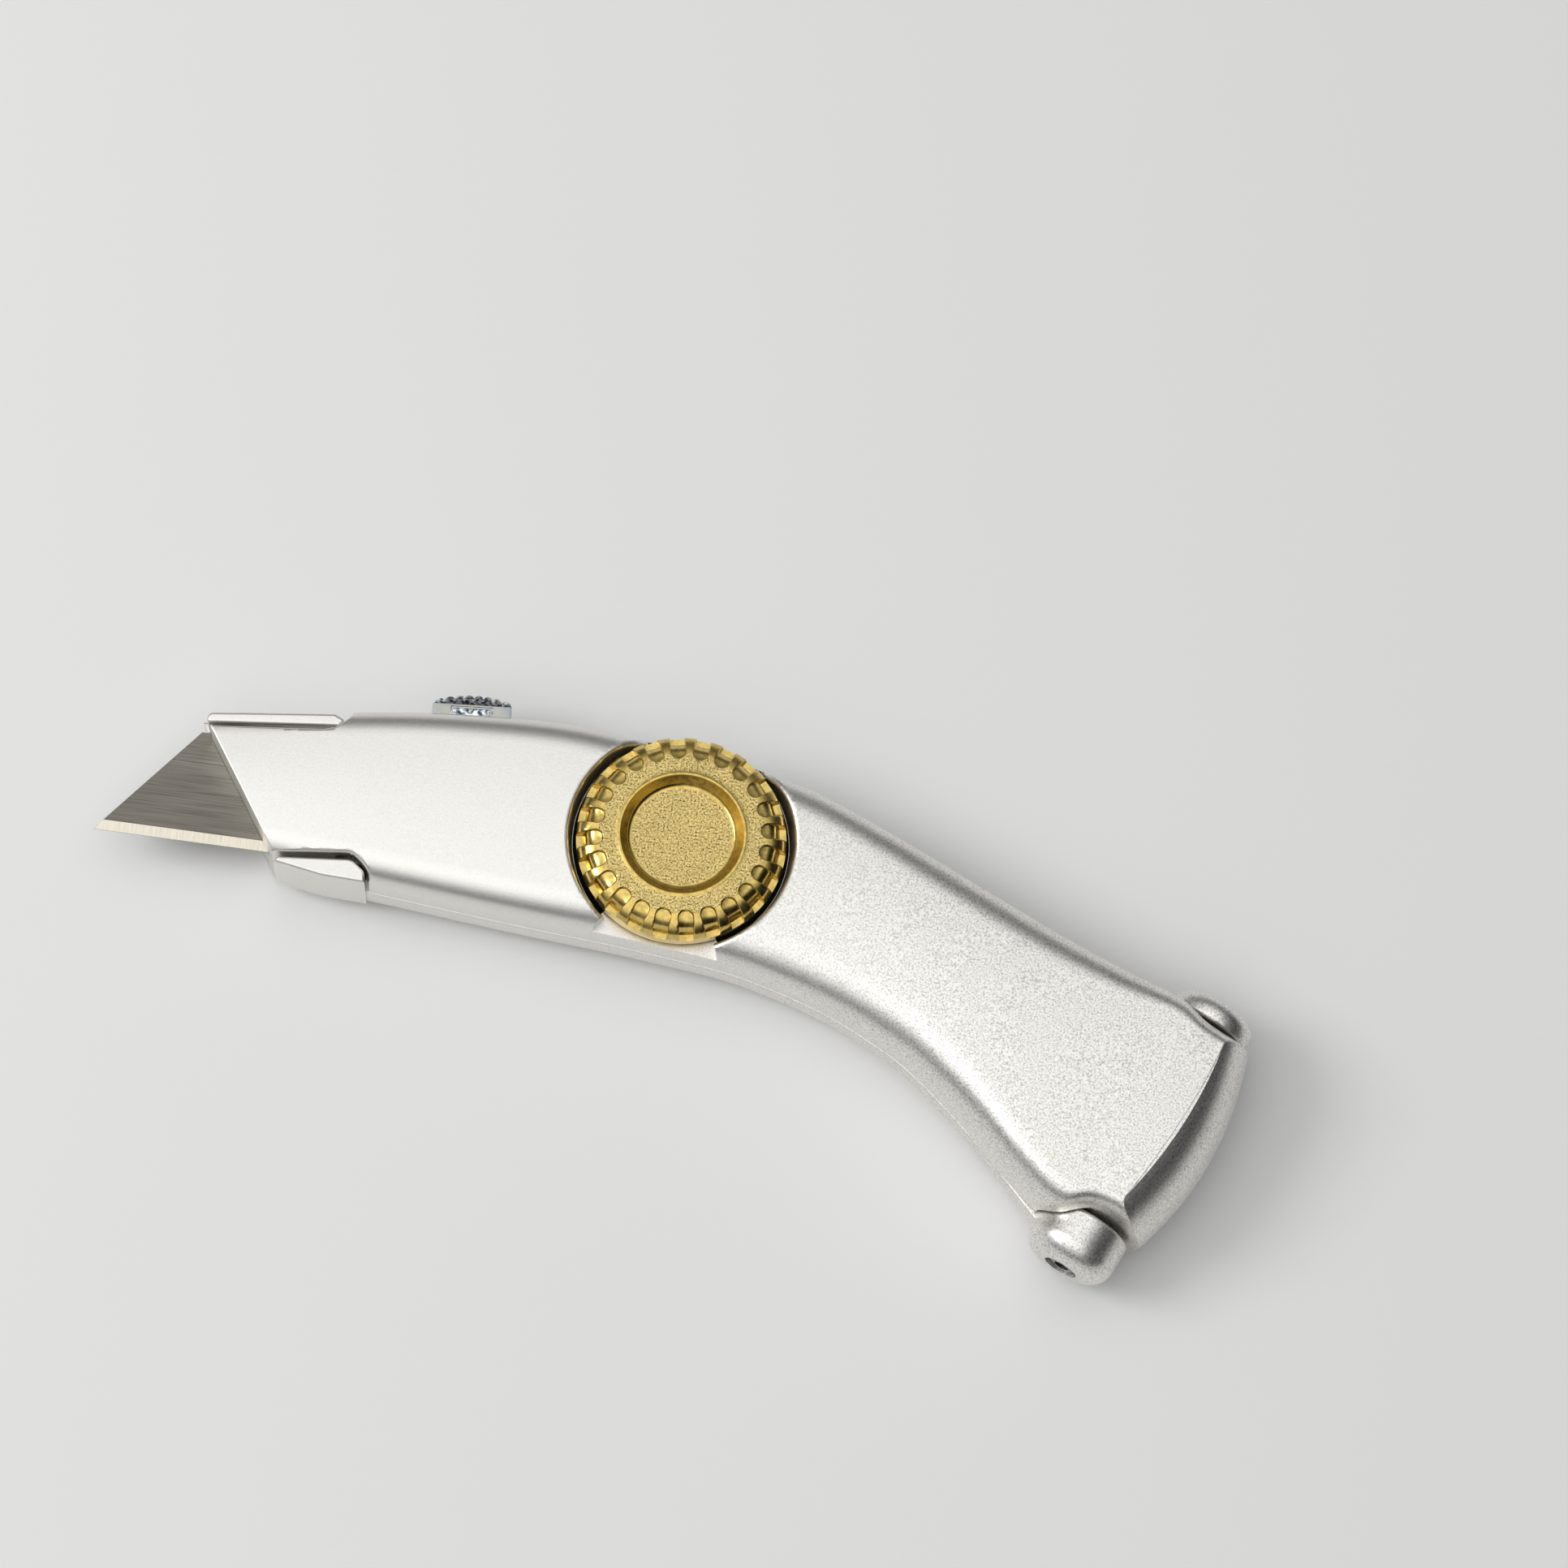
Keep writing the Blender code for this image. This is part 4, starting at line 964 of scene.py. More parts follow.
def far_half():
    """The far half: outside and hollow, lip, block, ears, boss and post, then its bores."""
    rows = STATIONS + FAR_TAIL
    case = half_skin("far_half", rows, False, 0, len(rows) - 1)
    hollow = half_skin("far_hollow", rows, False, *HOLLOW_ROWS_FAR, WALL)
    cut(hollow, slant_plate("far_nose_solid", HOLLOW_FROM, -5, 15))
    cut(case, hollow, slant_plate("far_nose_slant", 0, -5, 15))
    cut(case, hinge_cylinder("tail_clearance", TAIL_CLEAR_R, LOWER_EAR[1] + 0.1, UPPER_EAR[0] - 0.1, 128))
    lip = plate("lip", rounded(LIP), WRAP_FOOT_Z, LIP_TOP_Z, 0.7)
    wrap = plate("nose_block", rounded(BLOCK), WRAP_FOOT_Z, BLOCK_TOP_Z, 1.6, 6)
    join(case, lip, wrap, ear("lower_ear", LOWER_EAR), ear("upper_ear", UPPER_EAR))
    foot = 1.5
    boss = cylinder("insert_boss", INSERT_BOSS_R, (0, 0, foot), (0, 0, INSERT_TOP_Z))
    post = cylinder("clip_post", CLIP_POST_R, (*CLIP_POST, foot), (*CLIP_POST, CLIP_POST_TOP_Z), 48)
    join(case, boss, post)
    bores = [
        cylinder("insert_bore", INSERT_R + GAP, (0, 0, FLOOR), (0, 0, 9)),
        cylinder("post_bore", CLIP_POST_BORE_R, (*CLIP_POST, 3), (*CLIP_POST, 12), 32),
        hinge_cylinder("lower_ear_bore", EAR_BORE_R, -9, 9, 48),
        hinge_cylinder("upper_ear_bore", EAR_BORE_R, 38, 54, 48),
    ]
    for x in RAIL_SCREW_X:
        bores.append(cylinder("rail_bore", RAIL_BORE_R, (x, 0, 0.7), (x, 0, 5), 32))
    stem_slot = block("stem_slot", (STEM_X[0] - 1, -3.5), (9, 30), (5.9, 12))
    cut(case, *bores, blade_slot("far_blade_slot"), button_channel("far_channel"), stem_slot)
    return case


def recess_radius(z):
    """Radius of the recess's wall, which leans outwards a little as it rises."""
    return RECESS_FOOT_R + (RECESS_R + 0.4 - RECESS_FOOT_R) * (z - RECESS_FLOOR_Z) / 4.5


def recess_rim(case_height):
    """Edge of the knob's recess, all round it where the casting reaches above the floor."""
    runs, run = [], []
    for k in range(361):
        degree = k - 90 if k < 270 else k - 450
        if RECESS_OPEN[0] + 1 < degree < RECESS_OPEN[1] - 1:
            if run:
                runs.append(run)
                run = []
            continue
        angle = radians(degree)
        inward = Vector((cos(angle), sin(angle)))
        radius = RECESS_R
        for _ in range(3):
            edge = wall_edge(case_height, inward * radius, inward)
            radius = recess_radius(edge[0].z) if edge else radius
        if edge and edge[0].z > RECESS_FLOOR_Z + 0.3 and edge[1].z > -0.93:
            lean = (recess_radius(1) - recess_radius(0)) * inward
            run.append((edge[0], edge[1], -Vector((lean.x, lean.y, 1)).normalized()))
        elif run:
            runs.append(run)
            run = []
    if run:
        runs.append(run)
    return [r for r in runs if len(r) > 10]


def relief_groove():
    """A groove in the recess's floor, under the knob's rim and beside the wall."""
    inner, outer, low, high = 16.6, RECESS_FOOT_R - 0.04, RECESS_FLOOR_Z - 1.1, RECESS_FLOOR_Z + 0.4
    rings = []
    for k in range(141):
        angle = radians(RECESS_OPEN[1] + 3 + (354 - RECESS_OPEN[1] + RECESS_OPEN[0]) * k / 140)
        out = Vector((cos(angle), sin(angle), 0))
        corners = ((inner, low), (outer, low), (outer, high), (inner, high))
        rings.append([out * radius + Vector((0, 0, z)) for radius, z in corners])
    return skin("relief_groove", rings)


def crease_edges(case_height):
    """Edge where the near face meets the barrel of the tail."""
    edges = []
    for k in range(61):
        t = 3.0 + 42.0 * k / 60
        centre, width = barrel_oval(t)
        n = crease_out(t) - 0.6
        probe = hinge_point(n, t, 0)
        face = case_height(probe.xy)
        if face is None:
            continue
        angle = asin(min((face - PARTING_Z) / BARREL_TOP, 0.999))
        point = hinge_point(centre + width * cos(angle), t, face)
        inner = hinge_point(-1, 0, 0) - hinge_point(0, 0, 0)
        down = hinge_point(width * sin(angle), 0, 0) - hinge_point(0, 0, 0)
        down.z = -BARREL_TOP * cos(angle)
        edges.append((point, inner.normalized(), down.normalized()))
    return edges


def tail_trim():
    """A cutter that leaves the near half's tail as a barrel below its crease."""
    sections = []
    top = atan2(CREASE_Z - PARTING_Z + 1.2, BARREL_TOP * 0.36)
    for k in range(41):
        t = -6.0 + 60.0 * k / 40
        arc = barrel_arc(t, 0.0, top, 20)
        ring = [(45, 6.0), (arc[0][0], 6.0), *arc, (arc[-1][0], 34.0), (45, 34.0)]
        sections.append([hinge_point(n, t, z) for n, z in ring])
    return skin("tail_trim", sections)


def tail_bar():
    """The lower side of the tail's barrel, between the far half's ears."""
    sections = []
    low, high = TAIL_SPAN[0] + GAP, TAIL_SPAN[1] - GAP
    for k in range(25):
        t = low + (high - low) * k / 24
        arc = barrel_arc(t, -pi / 2, 0.0, 14, grow=-0.05)
        ring = [(-5.0, arc[0][1]), *arc, (arc[-1][0] - 1.2, 11.2), (-5.0, 11.2)]
        sections.append([hinge_point(n, t, z) for n, z in ring])
    return skin("tail_bar", sections)


def knob_recess():
    """Cutters for the round recess, its opening at the lower side and the stud's hole."""
    low, high = RECESS_FLOOR_Z, 26.0
    wall = ((0, low), (recess_radius(low), low), (recess_radius(high), high), (0, high))
    corners = [(0.0, 0.0)]
    for degree in (RECESS_OPEN[0], sum(RECESS_OPEN) / 2, RECESS_OPEN[1]):
        corners.append((60 * cos(radians(degree)), 60 * sin(radians(degree))))
    opening = plate("recess_opening", corners, low + 0.01, high)
    stud_hole = cylinder("stud_hole", STUD_R + 0.6, (0, 0, 5), (0, 0, 20), 48)
    return turned("recess", wall, 144), opening, stud_hole


def ear_pockets():
    """Cutters that clear the far half's ears at both ends of the hinge."""
    pockets = []
    for name, first, last in (("lower", -12, TAIL_SPAN[0]), ("upper", TAIL_SPAN[1], 60)):
        room = hinge_cylinder(name + "_ear_room", EAR_R + 0.5, first, last)
        corners = ((0, first), (30, first), (30, last), (0, last))
        outside = plate(name + "_ear_side", [hinge_point(n, t, 0).xy for n, t in corners], -5, 30)
        pockets.append(join(room, outside))
    return pockets


def tail_hollows():
    """Cutters for the pivot screws' two bores and for the pocket between them."""
    lower = hinge_cylinder("lower_dog_bore", DOG_BORE_R, 0, 12.2, 48)
    upper = hinge_cylinder("upper_dog_bore", DOG_BORE_R, 35.2, 47, 48)
    first, last = TAIL_SPAN[0] + 8.5, TAIL_SPAN[1] - 8.5
    corners = ((-22, first), (5.5, first), (8.0, (first + last) / 2), (5.5, last), (-22, last))
    pocket = plate("tail_pocket", [hinge_point(n, t, 0).xy for n, t in corners], 3.0, 18.5)
    return lower, upper, pocket


def near_half(context):
    """The near half: outside and hollow, tail, recess and ear pockets, then its edges."""
    rows = STATIONS + NEAR_TAIL
    sizes = sizes_of(context)
    edge = sizes.edge_round / MM
    case = half_skin("near_half", rows, True, 0, len(rows) - 1)
    height = height_over(case)
    hollow = half_skin("near_hollow", rows, True, *HOLLOW_ROWS_NEAR, WALL)
    foot = (0, 0, RECESS_FLOOR_Z - CUP_FLOOR)
    cup = cylinder("knob_cup", RECESS_R + CUP_WALL, foot, (0, 0, 40), 96)
    cut(hollow, slant_plate("near_nose_solid", HOLLOW_FROM, 5, 30), cup)
    lip_line, block_line = rounded(LIP_NOTCH), rounded(BLOCK_NOTCH)
    cut(case, plate("block_notch", block_line, 5, 30), plate("lip_notch", lip_line, 5, 30))
    cut(case, hollow, slant_plate("near_nose_slant", 0, 5, 30), tail_trim())
    join(case, tail_bar())
    cut(case, *knob_recess(), *ear_pockets(), *tail_hollows())
    cut(case, blade_slot("near_blade_slot"), button_channel("near_channel"), relief_groove())

    for run in recess_rim(height):
        radii = [min(sizes.rim_round / MM, 0.5 * (spot[0].z - RECESS_FLOOR_Z)) for spot in run]
        round_over(case, run, radii)
    crease = crease_edges(height)
    round_over(case, crease, [sizes.crease_round / MM] * len(crease))
    slant = extended([Vector(NOSE_LOWER), Vector(NOSE_UPPER)], 1.2)
    lip_path = [p for p in lip_line if -82 < p.x and p.y < 15]
    block_path = [p for p in block_line if -68 < p.x and p.y > -15]
    for path, side, share in ((slant, -1, 0.6), (lip_path, -1, 1.3), (block_path, 1, 2)):
        edges = wall_edges(height, resampled(path), side)
        round_over(case, edges, [edge * share] * len(edges))
    return case


# Operators --------------------------------------------------------------------------------


class KNIFE_OT_far_half(Operator):
    """Add the far body half with its lip, nose block, hinge ears, boss and post"""

    bl_idname = "knife.far_half"
    bl_label = "Far Body Half"

    def execute(self, context):
        case = far_half()
        fitted(case, lacquered_zinc(looks_of(context)), "body", "cast_body", "rear_case")
        return {"FINISHED"}


class KNIFE_OT_near_half(Operator):
    """Add the near body half with the knob's recess and the flared tail"""

    bl_idname = "knife.near_half"
    bl_label = "Near Body Half"

    def execute(self, context):
        case = near_half(context)
        look = bpy.data.materials.get("lacquered_die_cast_zinc") or lacquered_zinc(looks_of(context))
        case.data.materials.append(look)
        case.data.materials.append(painted_gap_shade())
        # Faces low in the groove beside the recess wall, away from the recess's opening, get the dark
        # material: painted shade in the gap under the knob's rim.
        for face in case.data.polygons:
            centre = face.center / MM
            angle = degrees(atan2(centre.y, centre.x))
            beside = 16.5 < centre.xy.length < RECESS_FOOT_R + 0.05
            below = 13.8 < centre.z < RECESS_FLOOR_Z - 0.05
            opening = RECESS_OPEN[0] < angle < RECESS_OPEN[1]
            face.material_index = 1 if beside and below and not opening else 0
        fitted(case, look, "cover", "cast_body", "front_case")
        return {"FINISHED"}


class KNIFE_OT_knob(Operator):
    """Add the fluted clamping knob with its dished face"""

    bl_idname = "knife.knob"
    bl_label = "Clamping Knob"

    def land(self, r):
        """Height of the lands between the flutes: flat, then a quarter of an oval."""
        wide, deep = KNOB_R - LAND_FLAT_R, LAND_DEPTH
        share = min(max((r - LAND_FLAT_R) / wide, 0.0), 1.0)
        return KNOB_FACE_Z - deep * (1 - sqrt(1 - share**2))

    def profile(self):
        """(radius, height) round half the knob, from the dish out and back underneath."""
        face, bead = KNOB_FACE_Z, 0.12
        points = [(0, DISH_Z), (DISH_R - 0.7, DISH_Z), (DISH_R - 0.35, DISH_Z + 0.06)]
        points += [(DISH_R - 0.1, DISH_Z + 0.2), (DISH_R + 0.1, DISH_Z + 0.45)]
        points += [(DISH_RIM_R - 0.22, face - 0.14), (DISH_RIM_R - 0.08, face + bead * 0.6)]
        points += [(DISH_RIM_R + 0.12, face + bead), (DISH_RIM_R + 0.34, face + bead * 0.55)]
        points += [(DISH_RIM_R + 0.5, face), (DISH_RIM_R + 1.2, face)]
        for k in range(15):
            r = LAND_FLAT_R + (KNOB_R - LAND_FLAT_R) * sin(pi / 2 * k / 14)
            points.append((r, self.land(r)))
        points += [(KNOB_R, LEDGE_Z - 0.2), (KNOB_R, KNOB_BASE_Z + 0.4), (KNOB_R - 0.4, KNOB_BASE_Z)]
        inner, outer, roof = KNOB_HOLLOW
        points += [(outer, KNOB_BASE_Z), (outer, roof), (inner, roof), (inner, KNOB_BASE_Z + 1.0)]
        points += [(STUD_R + GAP, KNOB_BASE_Z + 1.0), (STUD_R + GAP, STUD_SEAT_Z), (0, STUD_SEAT_Z)]
        return points

    def flute_floor(self, r):
        """Height along the bottom of a flute, down to the ledge at the knob's rim."""
        face = KNOB_FACE_Z
        steps = (
            (10.0, face - 0.5),
            (FLUTE_IN_R, face - 0.55),
            (14.6, face - 0.85),
            (15.3, face - 1.3),
            (15.9, face - 2.1),
            (16.3, LEDGE_Z),
            (30.0, LEDGE_Z),
        )
        for (r0, z0), (r1, z1) in zip(steps, steps[1:]):
            if r0 <= r <= r1:
                return z0 + (z1 - z0) * (r - r0) / (r1 - r0)

    def flute(self, edge):
        """Rings across one flute: a long oval slot whose mouth is rolled over the lands."""
        half, top = FLUTE_WIDTH / 2, KNOB_FACE_Z + 2
        centre = FLUTE_IN_R + half
        mouth = []
        for turn in (0.0, 0.4, 0.8, 1.2, pi / 2):
            mouth.append((half + edge * (1 - sin(turn)), 0.03 - edge * (1 - cos(turn))))
        rings = []
        places = [centre - (half + edge) * cos(pi / 2 * k / 12) for k in range(13)]
        places += [centre + 0.4 * k for k in range(1, 9)] + [21.0]
        for place in places:
            back = max(centre - place, 0.0)
            side = []
            for reach, drop in mouth:
                y = sqrt(max(reach**2 - back**2, 0.0))
                reach = max(reach, back)
                if back > half:
                    drop = 0.03 - edge + sqrt(max(edge**2 - (half + edge - reach) ** 2, 0.0))
                side.append((y, self.land(sqrt(place**2 + y**2)) + drop))
            for share in (0.97, 0.7, 0.35):
                y = sqrt(max((half * share) ** 2 - back**2, 0.0))
                hollow = 0.12 * (max(half * share, back) / half) ** 2
                side.append((y, self.flute_floor(place) + hollow if back < half else side[-1][1]))
            deepest = self.flute_floor(place) + 0.12 * (back / half) ** 2 if back < half else side[-1][1]
            middle = (0.0, deepest)
            wide = max(side[0][0], 0.02)
            ring = [(-wide, top)] + [(-y, z) for y, z in side] + [middle]
            ring += [(y, z) for y, z in reversed(side)] + [(wide, top)]
            rings.append([Vector((place, y, z)) for y, z in ring])
        return rings

    def execute(self, context):
        sizes, looks = sizes_of(context), looks_of(context)
        knob = turned("knob_body", self.profile(), steps=sizes.flutes * 8)
        first = -5.1
        for k in range(sizes.flutes):
            turn = Matrix.Rotation(radians(first + 360 * k / sizes.flutes), 4, "Z")
            rings = self.flute(sizes.flute_edge / MM)
            cut(knob, skin("flute", [[turn @ point for point in ring] for ring in rings]))
        flats = (KNOB_FACE_Z, DISH_Z)
        knob.data.materials.append(brass(looks, False))
        knob.data.materials.append(brass(looks, True))
        for face in knob.data.polygons:
            level = face.center.z / MM
            flat = face.normal.z > 0.995 and min(abs(level - z) for z in flats) < 0.05
            face.material_index = 1 if flat else 0
        fitted(knob, None, "knob", "antique_brass", "knob")
        return {"FINISHED"}


class KNIFE_OT_button(Operator):
    """Add the thumb button with its framed side panels, crown of bumps and stem"""

    bl_idname = "knife.button"
    bl_label = "Thumb Button"

    def slope(self, x):
        return BUTTON_BOTTOM_Y + BUTTON_SLOPE * (x - BUTTON_X[0])

    def crown(self, bumps):
        """Rings across the button: a flat rim each side, slopes, and bumps between them."""
        left, right = BUTTON_X[0] + 0.12, BUTTON_X[1] - 0.12
        middle, half = (left + right) / 2, (right - left) / 2
        low, high = BUTTON_Z
        rings = []
        for k in range(bumps * 10 + 1):
            x = left + (right - left) * k / (bumps * 10)
            place = k / 10 % 1.0
            bump = BUMP_HEIGHT * sqrt(1 - 0.97 * (2 * place - 1) ** 2)
            rim = self.slope(x) + BUTTON_SIDE - 0.05
            crest = rim + 0.5 + BUTTON_CROWN * (1 - ((x - middle) / half) ** 2) + bump
            slope = rim + (crest - rim) * 0.55
            side = [(rim - 1.3, low + 0.75), (rim, low + 0.4), (slope, low + 0.8), (crest, low + 1.5)]
            ring = side + [(crest + 0.12, (low + high) / 2)]
            ring += [(y, low + high - z) for y, z in reversed(side)]
            rings.append([Vector((x, y, z)) for y, z in ring])
        return rings

    def panel(self, name, half, top, bottom, low, high):
        """A block along the middle of one side, its top edge level with the rim."""
        middle = (BUTTON_X[0] + BUTTON_X[1]) / 2
        x0, x1 = middle - half, middle + half
        edge = BUTTON_SIDE - top
        corners = [(x, self.slope(x) + bottom) for x in (x0, x1)]
        corners += [(x, self.slope(x) + edge) for x in (x1, x0)]
        return plate(name, corners, min(low, high), max(low, high))

    def execute(self, context):
        sizes, looks = sizes_of(context), looks_of(context)
        left, right = BUTTON_X
        side = BUTTON_SIDE
        outline = (
            (left, self.slope(left)),
            (right, self.slope(right)),
            (right, self.slope(right) + side),
            (left, self.slope(left) + side),
        )
        button = bevelled(plate("button_body", outline, *BUTTON_Z), 0.09 * MM, 2)
        low, high = BUTTON_Z
        for face, out in ((high, 1), (low, -1)):
            depth = [face + out * level for level in (-1.0, -0.35, -0.3, -0.04, 1.0)]
            cut(button, self.panel("panel_outline", 3.5, 0.32, -1, depth[1], depth[4]))
            join(button, self.panel("panel_frame", 3.38, 0.42, 0.1, depth[0], depth[3]))
            cut(button, self.panel("panel_middle", 3.12, 0.68, -1, depth[2], depth[4]))
        join(button, skin("bumps", self.crown(sizes.bumps)))
        stem = block("button_stem", STEM_X, (9.4, 18.0), STEM_Z)
        join(button, bevelled(stem, 0.2 * MM))
        cut(button, cylinder("stem_bore", 1.1, (*PIN_AT, 4), (*PIN_AT, 12), 32))
        button.data.materials.append(bright_plating(looks, False))
        button.data.materials.append(bright_plating(looks, True))
        # The crown's top and the sunk panels get the plating with the painted reflection.
        for face in button.data.polygons:
            x, y, z = face.center / MM
            on_top = y > self.slope(x) + side - 0.04 and low + 0.36 < z < high - 0.36
            depth = min(abs(z - low), abs(z - high))
            sunk = abs(face.normal.z) > 0.9 and 0.25 < depth < 0.4
            in_panel = sunk and abs(x - (left + right) / 2) < 3.1
            face.material_index = 1 if on_top or in_panel else 0
        fitted(button, None, "button", "plated_zinc", "thumb_button", angle=28)
        return {"FINISHED"}


class KNIFE_OT_blades(Operator):
    """Add the blade and the spare blades in the store"""

    bl_idname = "knife.blades"
    bl_label = "Blades"

    def outline(self):
        x, y = BLADE_TIP
        middle = x + BLADE_LENGTH / 2
        short = BLADE_LENGTH / 2 - BLADE_SLANT
        return (
            (x, y),
            (x + BLADE_LENGTH, y),
            (middle + short, y + BLADE_HEIGHT),
            (middle - short, y + BLADE_HEIGHT),
        )

    def blade(self, name, looks):
        half = BLADE_THICK / 2
        x, y = BLADE_TIP
        made = plate(name, self.outline(), PARTING_Z - half, PARTING_Z + half)
        edit(made)
        bpy.ops.mesh.select_all(action="SELECT")
        bpy.ops.mesh.bisect(plane_co=(0, (y + GRIND_WIDTH) * MM, 0), plane_no=(0, 1, 0))
        pick(made, "EDGE", lambda edge: max(v.co.y for v in edge.verts) < (y + 0.01) * MM)
        thin = EDGE_LAND / half
        bpy.ops.transform.resize(value=(1, 1, thin), center_override=(0, 0, PARTING_Z * MM))
        bpy.ops.object.mode_set(mode="OBJECT")
        middle, top = x + BLADE_LENGTH / 2, y + BLADE_HEIGHT
        wide = NOTCH_WIDTH / 2
        for at in (middle - NOTCH_X, middle + NOTCH_X):
            notch = (
                (at - wide, top + 2, 0),
                (at - wide, top - NOTCH_DEPTH, 0.9),
                (at + wide, top - NOTCH_DEPTH, 0.9),
                (at + wide, top + 2, 0),
            )
            cut(made, plate("notch", rounded(notch), PARTING_Z - 3, PARTING_Z + 3))
        bevelled(made, 0.03 * MM, 1, angle=60)
        for look in looks:
            made.data.materials.append(look)
        for face in made.data.polygons:
            face.material_index = 1 if face.center.y < (y + GRIND_WIDTH - 0.05) * MM else 0
        return made

    def execute(self, context):
        looks = brushed_blade(looks_of(context)), ground_edge(looks_of(context))
        fitted(self.blade("blade_sharp", looks), None, "slider", "blade_steel", "blade", angle=8)
        x, y = BLADE_TIP
        centre = Vector((x + BLADE_LENGTH / 2, y + BLADE_HEIGHT / 2, PARTING_Z)) * MM
        turn = Matrix.Rotation(atan2(STORE_DIR[1], STORE_DIR[0]), 4, "Z")
        for number in range(SPARES):
            spare = self.blade(f"spare_{number + 1}", looks)
            level = STORE_FLOOR_Z + GAP + BLADE_THICK / 2 + number * SPARE_PITCH
            target = Vector((*STORE_AT, level)) * MM
            spare.data.transform(Matrix.Translation(target) @ turn @ Matrix.Translation(-centre))
            fitted(spare, None, "body", "blade_steel", f"spare_blade_{number + 1}", angle=8)
        return {"FINISHED"}


class KNIFE_OT_hinge_screws(Operator):
    """Add the two socket pivot screws of the tail hinge"""

    bl_idname = "knife.hinge_screws"
    bl_label = "Hinge Screws"

    def screw(self, name, span, outward, dog_to):
        inner, outer = (span[1] - GAP, span[0] + GAP) if outward < 0 else (span[0] + GAP, span[1] - GAP)
        thread, dog, pitch, depth = 2.6, 1.9, 0.5, 0.22
        shoulder, end = abs(dog_to - inner), abs(dog_to - outer)
        profile = [(0, end), (1.75, end), (1.95, end - 0.1), (2.3, end - 0.25)]
        turns = int((end - 0.3 - shoulder) / pitch)
        for k in range(turns):
            top = end - 0.3 - k * pitch
            profile += [(thread, top - pitch * 0.25), (thread, top - pitch * 0.4)]
            profile.append((thread - depth, top - pitch * 0.8))
        profile += [(thread - depth, shoulder), (dog, shoulder), (dog, 0.4), (dog - 0.4, 0), (0, 0)]
        direction = Vector((*HINGE_DIR, 0)) * outward
        made = turned(name, profile, 64, hinge_point(0, dog_to, PARTING_Z), direction)
        mouth = hinge_point(0, outer, PARTING_Z)
        return cut(made, cylinder("hex_socket", 1.45, mouth - direction * 2.4, mouth + direction, 6))

    def execute(self, context):
        look = plain_metal("blackened_screw_steel", looks_of(context).screw, 0.32, 0.4)
        rows = (("lower", LOWER_EAR, -1, 11.6), ("upper", UPPER_EAR, 1, 35.8))
        for name, span, outward, dog_to in rows:
            made = self.screw(f"pivot_screw_{name}", span, outward, dog_to)
            fitted(made, look, "body", "screw_steel", f"hinge_screw_{name}")
        return {"FINISHED"}


class KNIFE_OT_clamp(Operator):
    """Add the knob's threaded stud, its clip and washer, and the insert it screws into"""

    bl_idname = "knife.clamp"
    bl_label = "Clamp Hardware"

    def execute(self, context):
        looks = looks_of(context)
        steel = plain_metal("zinc_plated_stud_steel", looks.screw, 0.28, 0.5)
        spring = plain_metal("rolled_spring_steel", looks.spring, 0.24, 0.5, stretch=(20, 1, 1))
        turned_brass = plain_metal("turned_brass", looks.insert, 0.24, 0.25, stretch=(1, 1, 0.3))
        pitch, depth = 1.0, 0.45
        profile = [(0, STUD_SEAT_Z - GAP), (STUD_R, STUD_SEAT_Z - GAP), (STUD_R, STUD_GROOVE_Z[1])]
        profile += [(STUD_GROOVE_R, z) for z in reversed(STUD_GROOVE_Z)]
        level = STUD_GROOVE_Z[0]
        while level - pitch > STUD_END_Z + 0.5:
            profile.append((STUD_R - depth, level))
            profile += [(STUD_R, level - pitch * 0.42), (STUD_R, level - pitch * 0.58)]
            level -= pitch
        profile += [(STUD_R - depth, level), (STUD_R - 0.8, STUD_END_Z), (0, STUD_END_Z)]
        fitted(turned("threaded_stud", profile), steel, "knob", "screw_steel", "clamp_stud")

        inner, outer = STUD_GROOVE_R + GAP, 4.8
        low, high = STUD_GROOVE_Z[0] + GAP, STUD_GROOVE_Z[1] - GAP
        clip = turned("open_clip", ((inner, high), (outer, high), (outer, low), (inner, low)))
        cut(clip, block("clip_gap", (0, 8), (-1.6, 1.6), (5, 14)))
        fitted(bevelled(clip, 0.08 * MM), spring, "knob", "spring_steel", "retaining_clip")

        top, bottom = KNOB_BASE_Z + 0.7, RECESS_FLOOR_Z + GAP
        inner, outer = STUD_R + 0.4, 6.2
        corners = ((inner, top), (outer, top), (outer, bottom), (inner, bottom))
        washer = turned("plain_washer", corners)
        fitted(bevelled(washer, 0.15 * MM), spring, "knob_lift", "spring_steel", "knob_washer")

        low, high = FLOOR + GAP, INSERT_TOP_Z
        corners = ((INSERT_BORE_R, high), (INSERT_R, high), (INSERT_R, low), (INSERT_BORE_R, low))
        insert = turned("knurled_insert", corners, 96)
        fitted(bevelled(insert, 0.3 * MM), turned_brass, "body", "brass_insert", "threaded_insert")
        return {"FINISHED"}


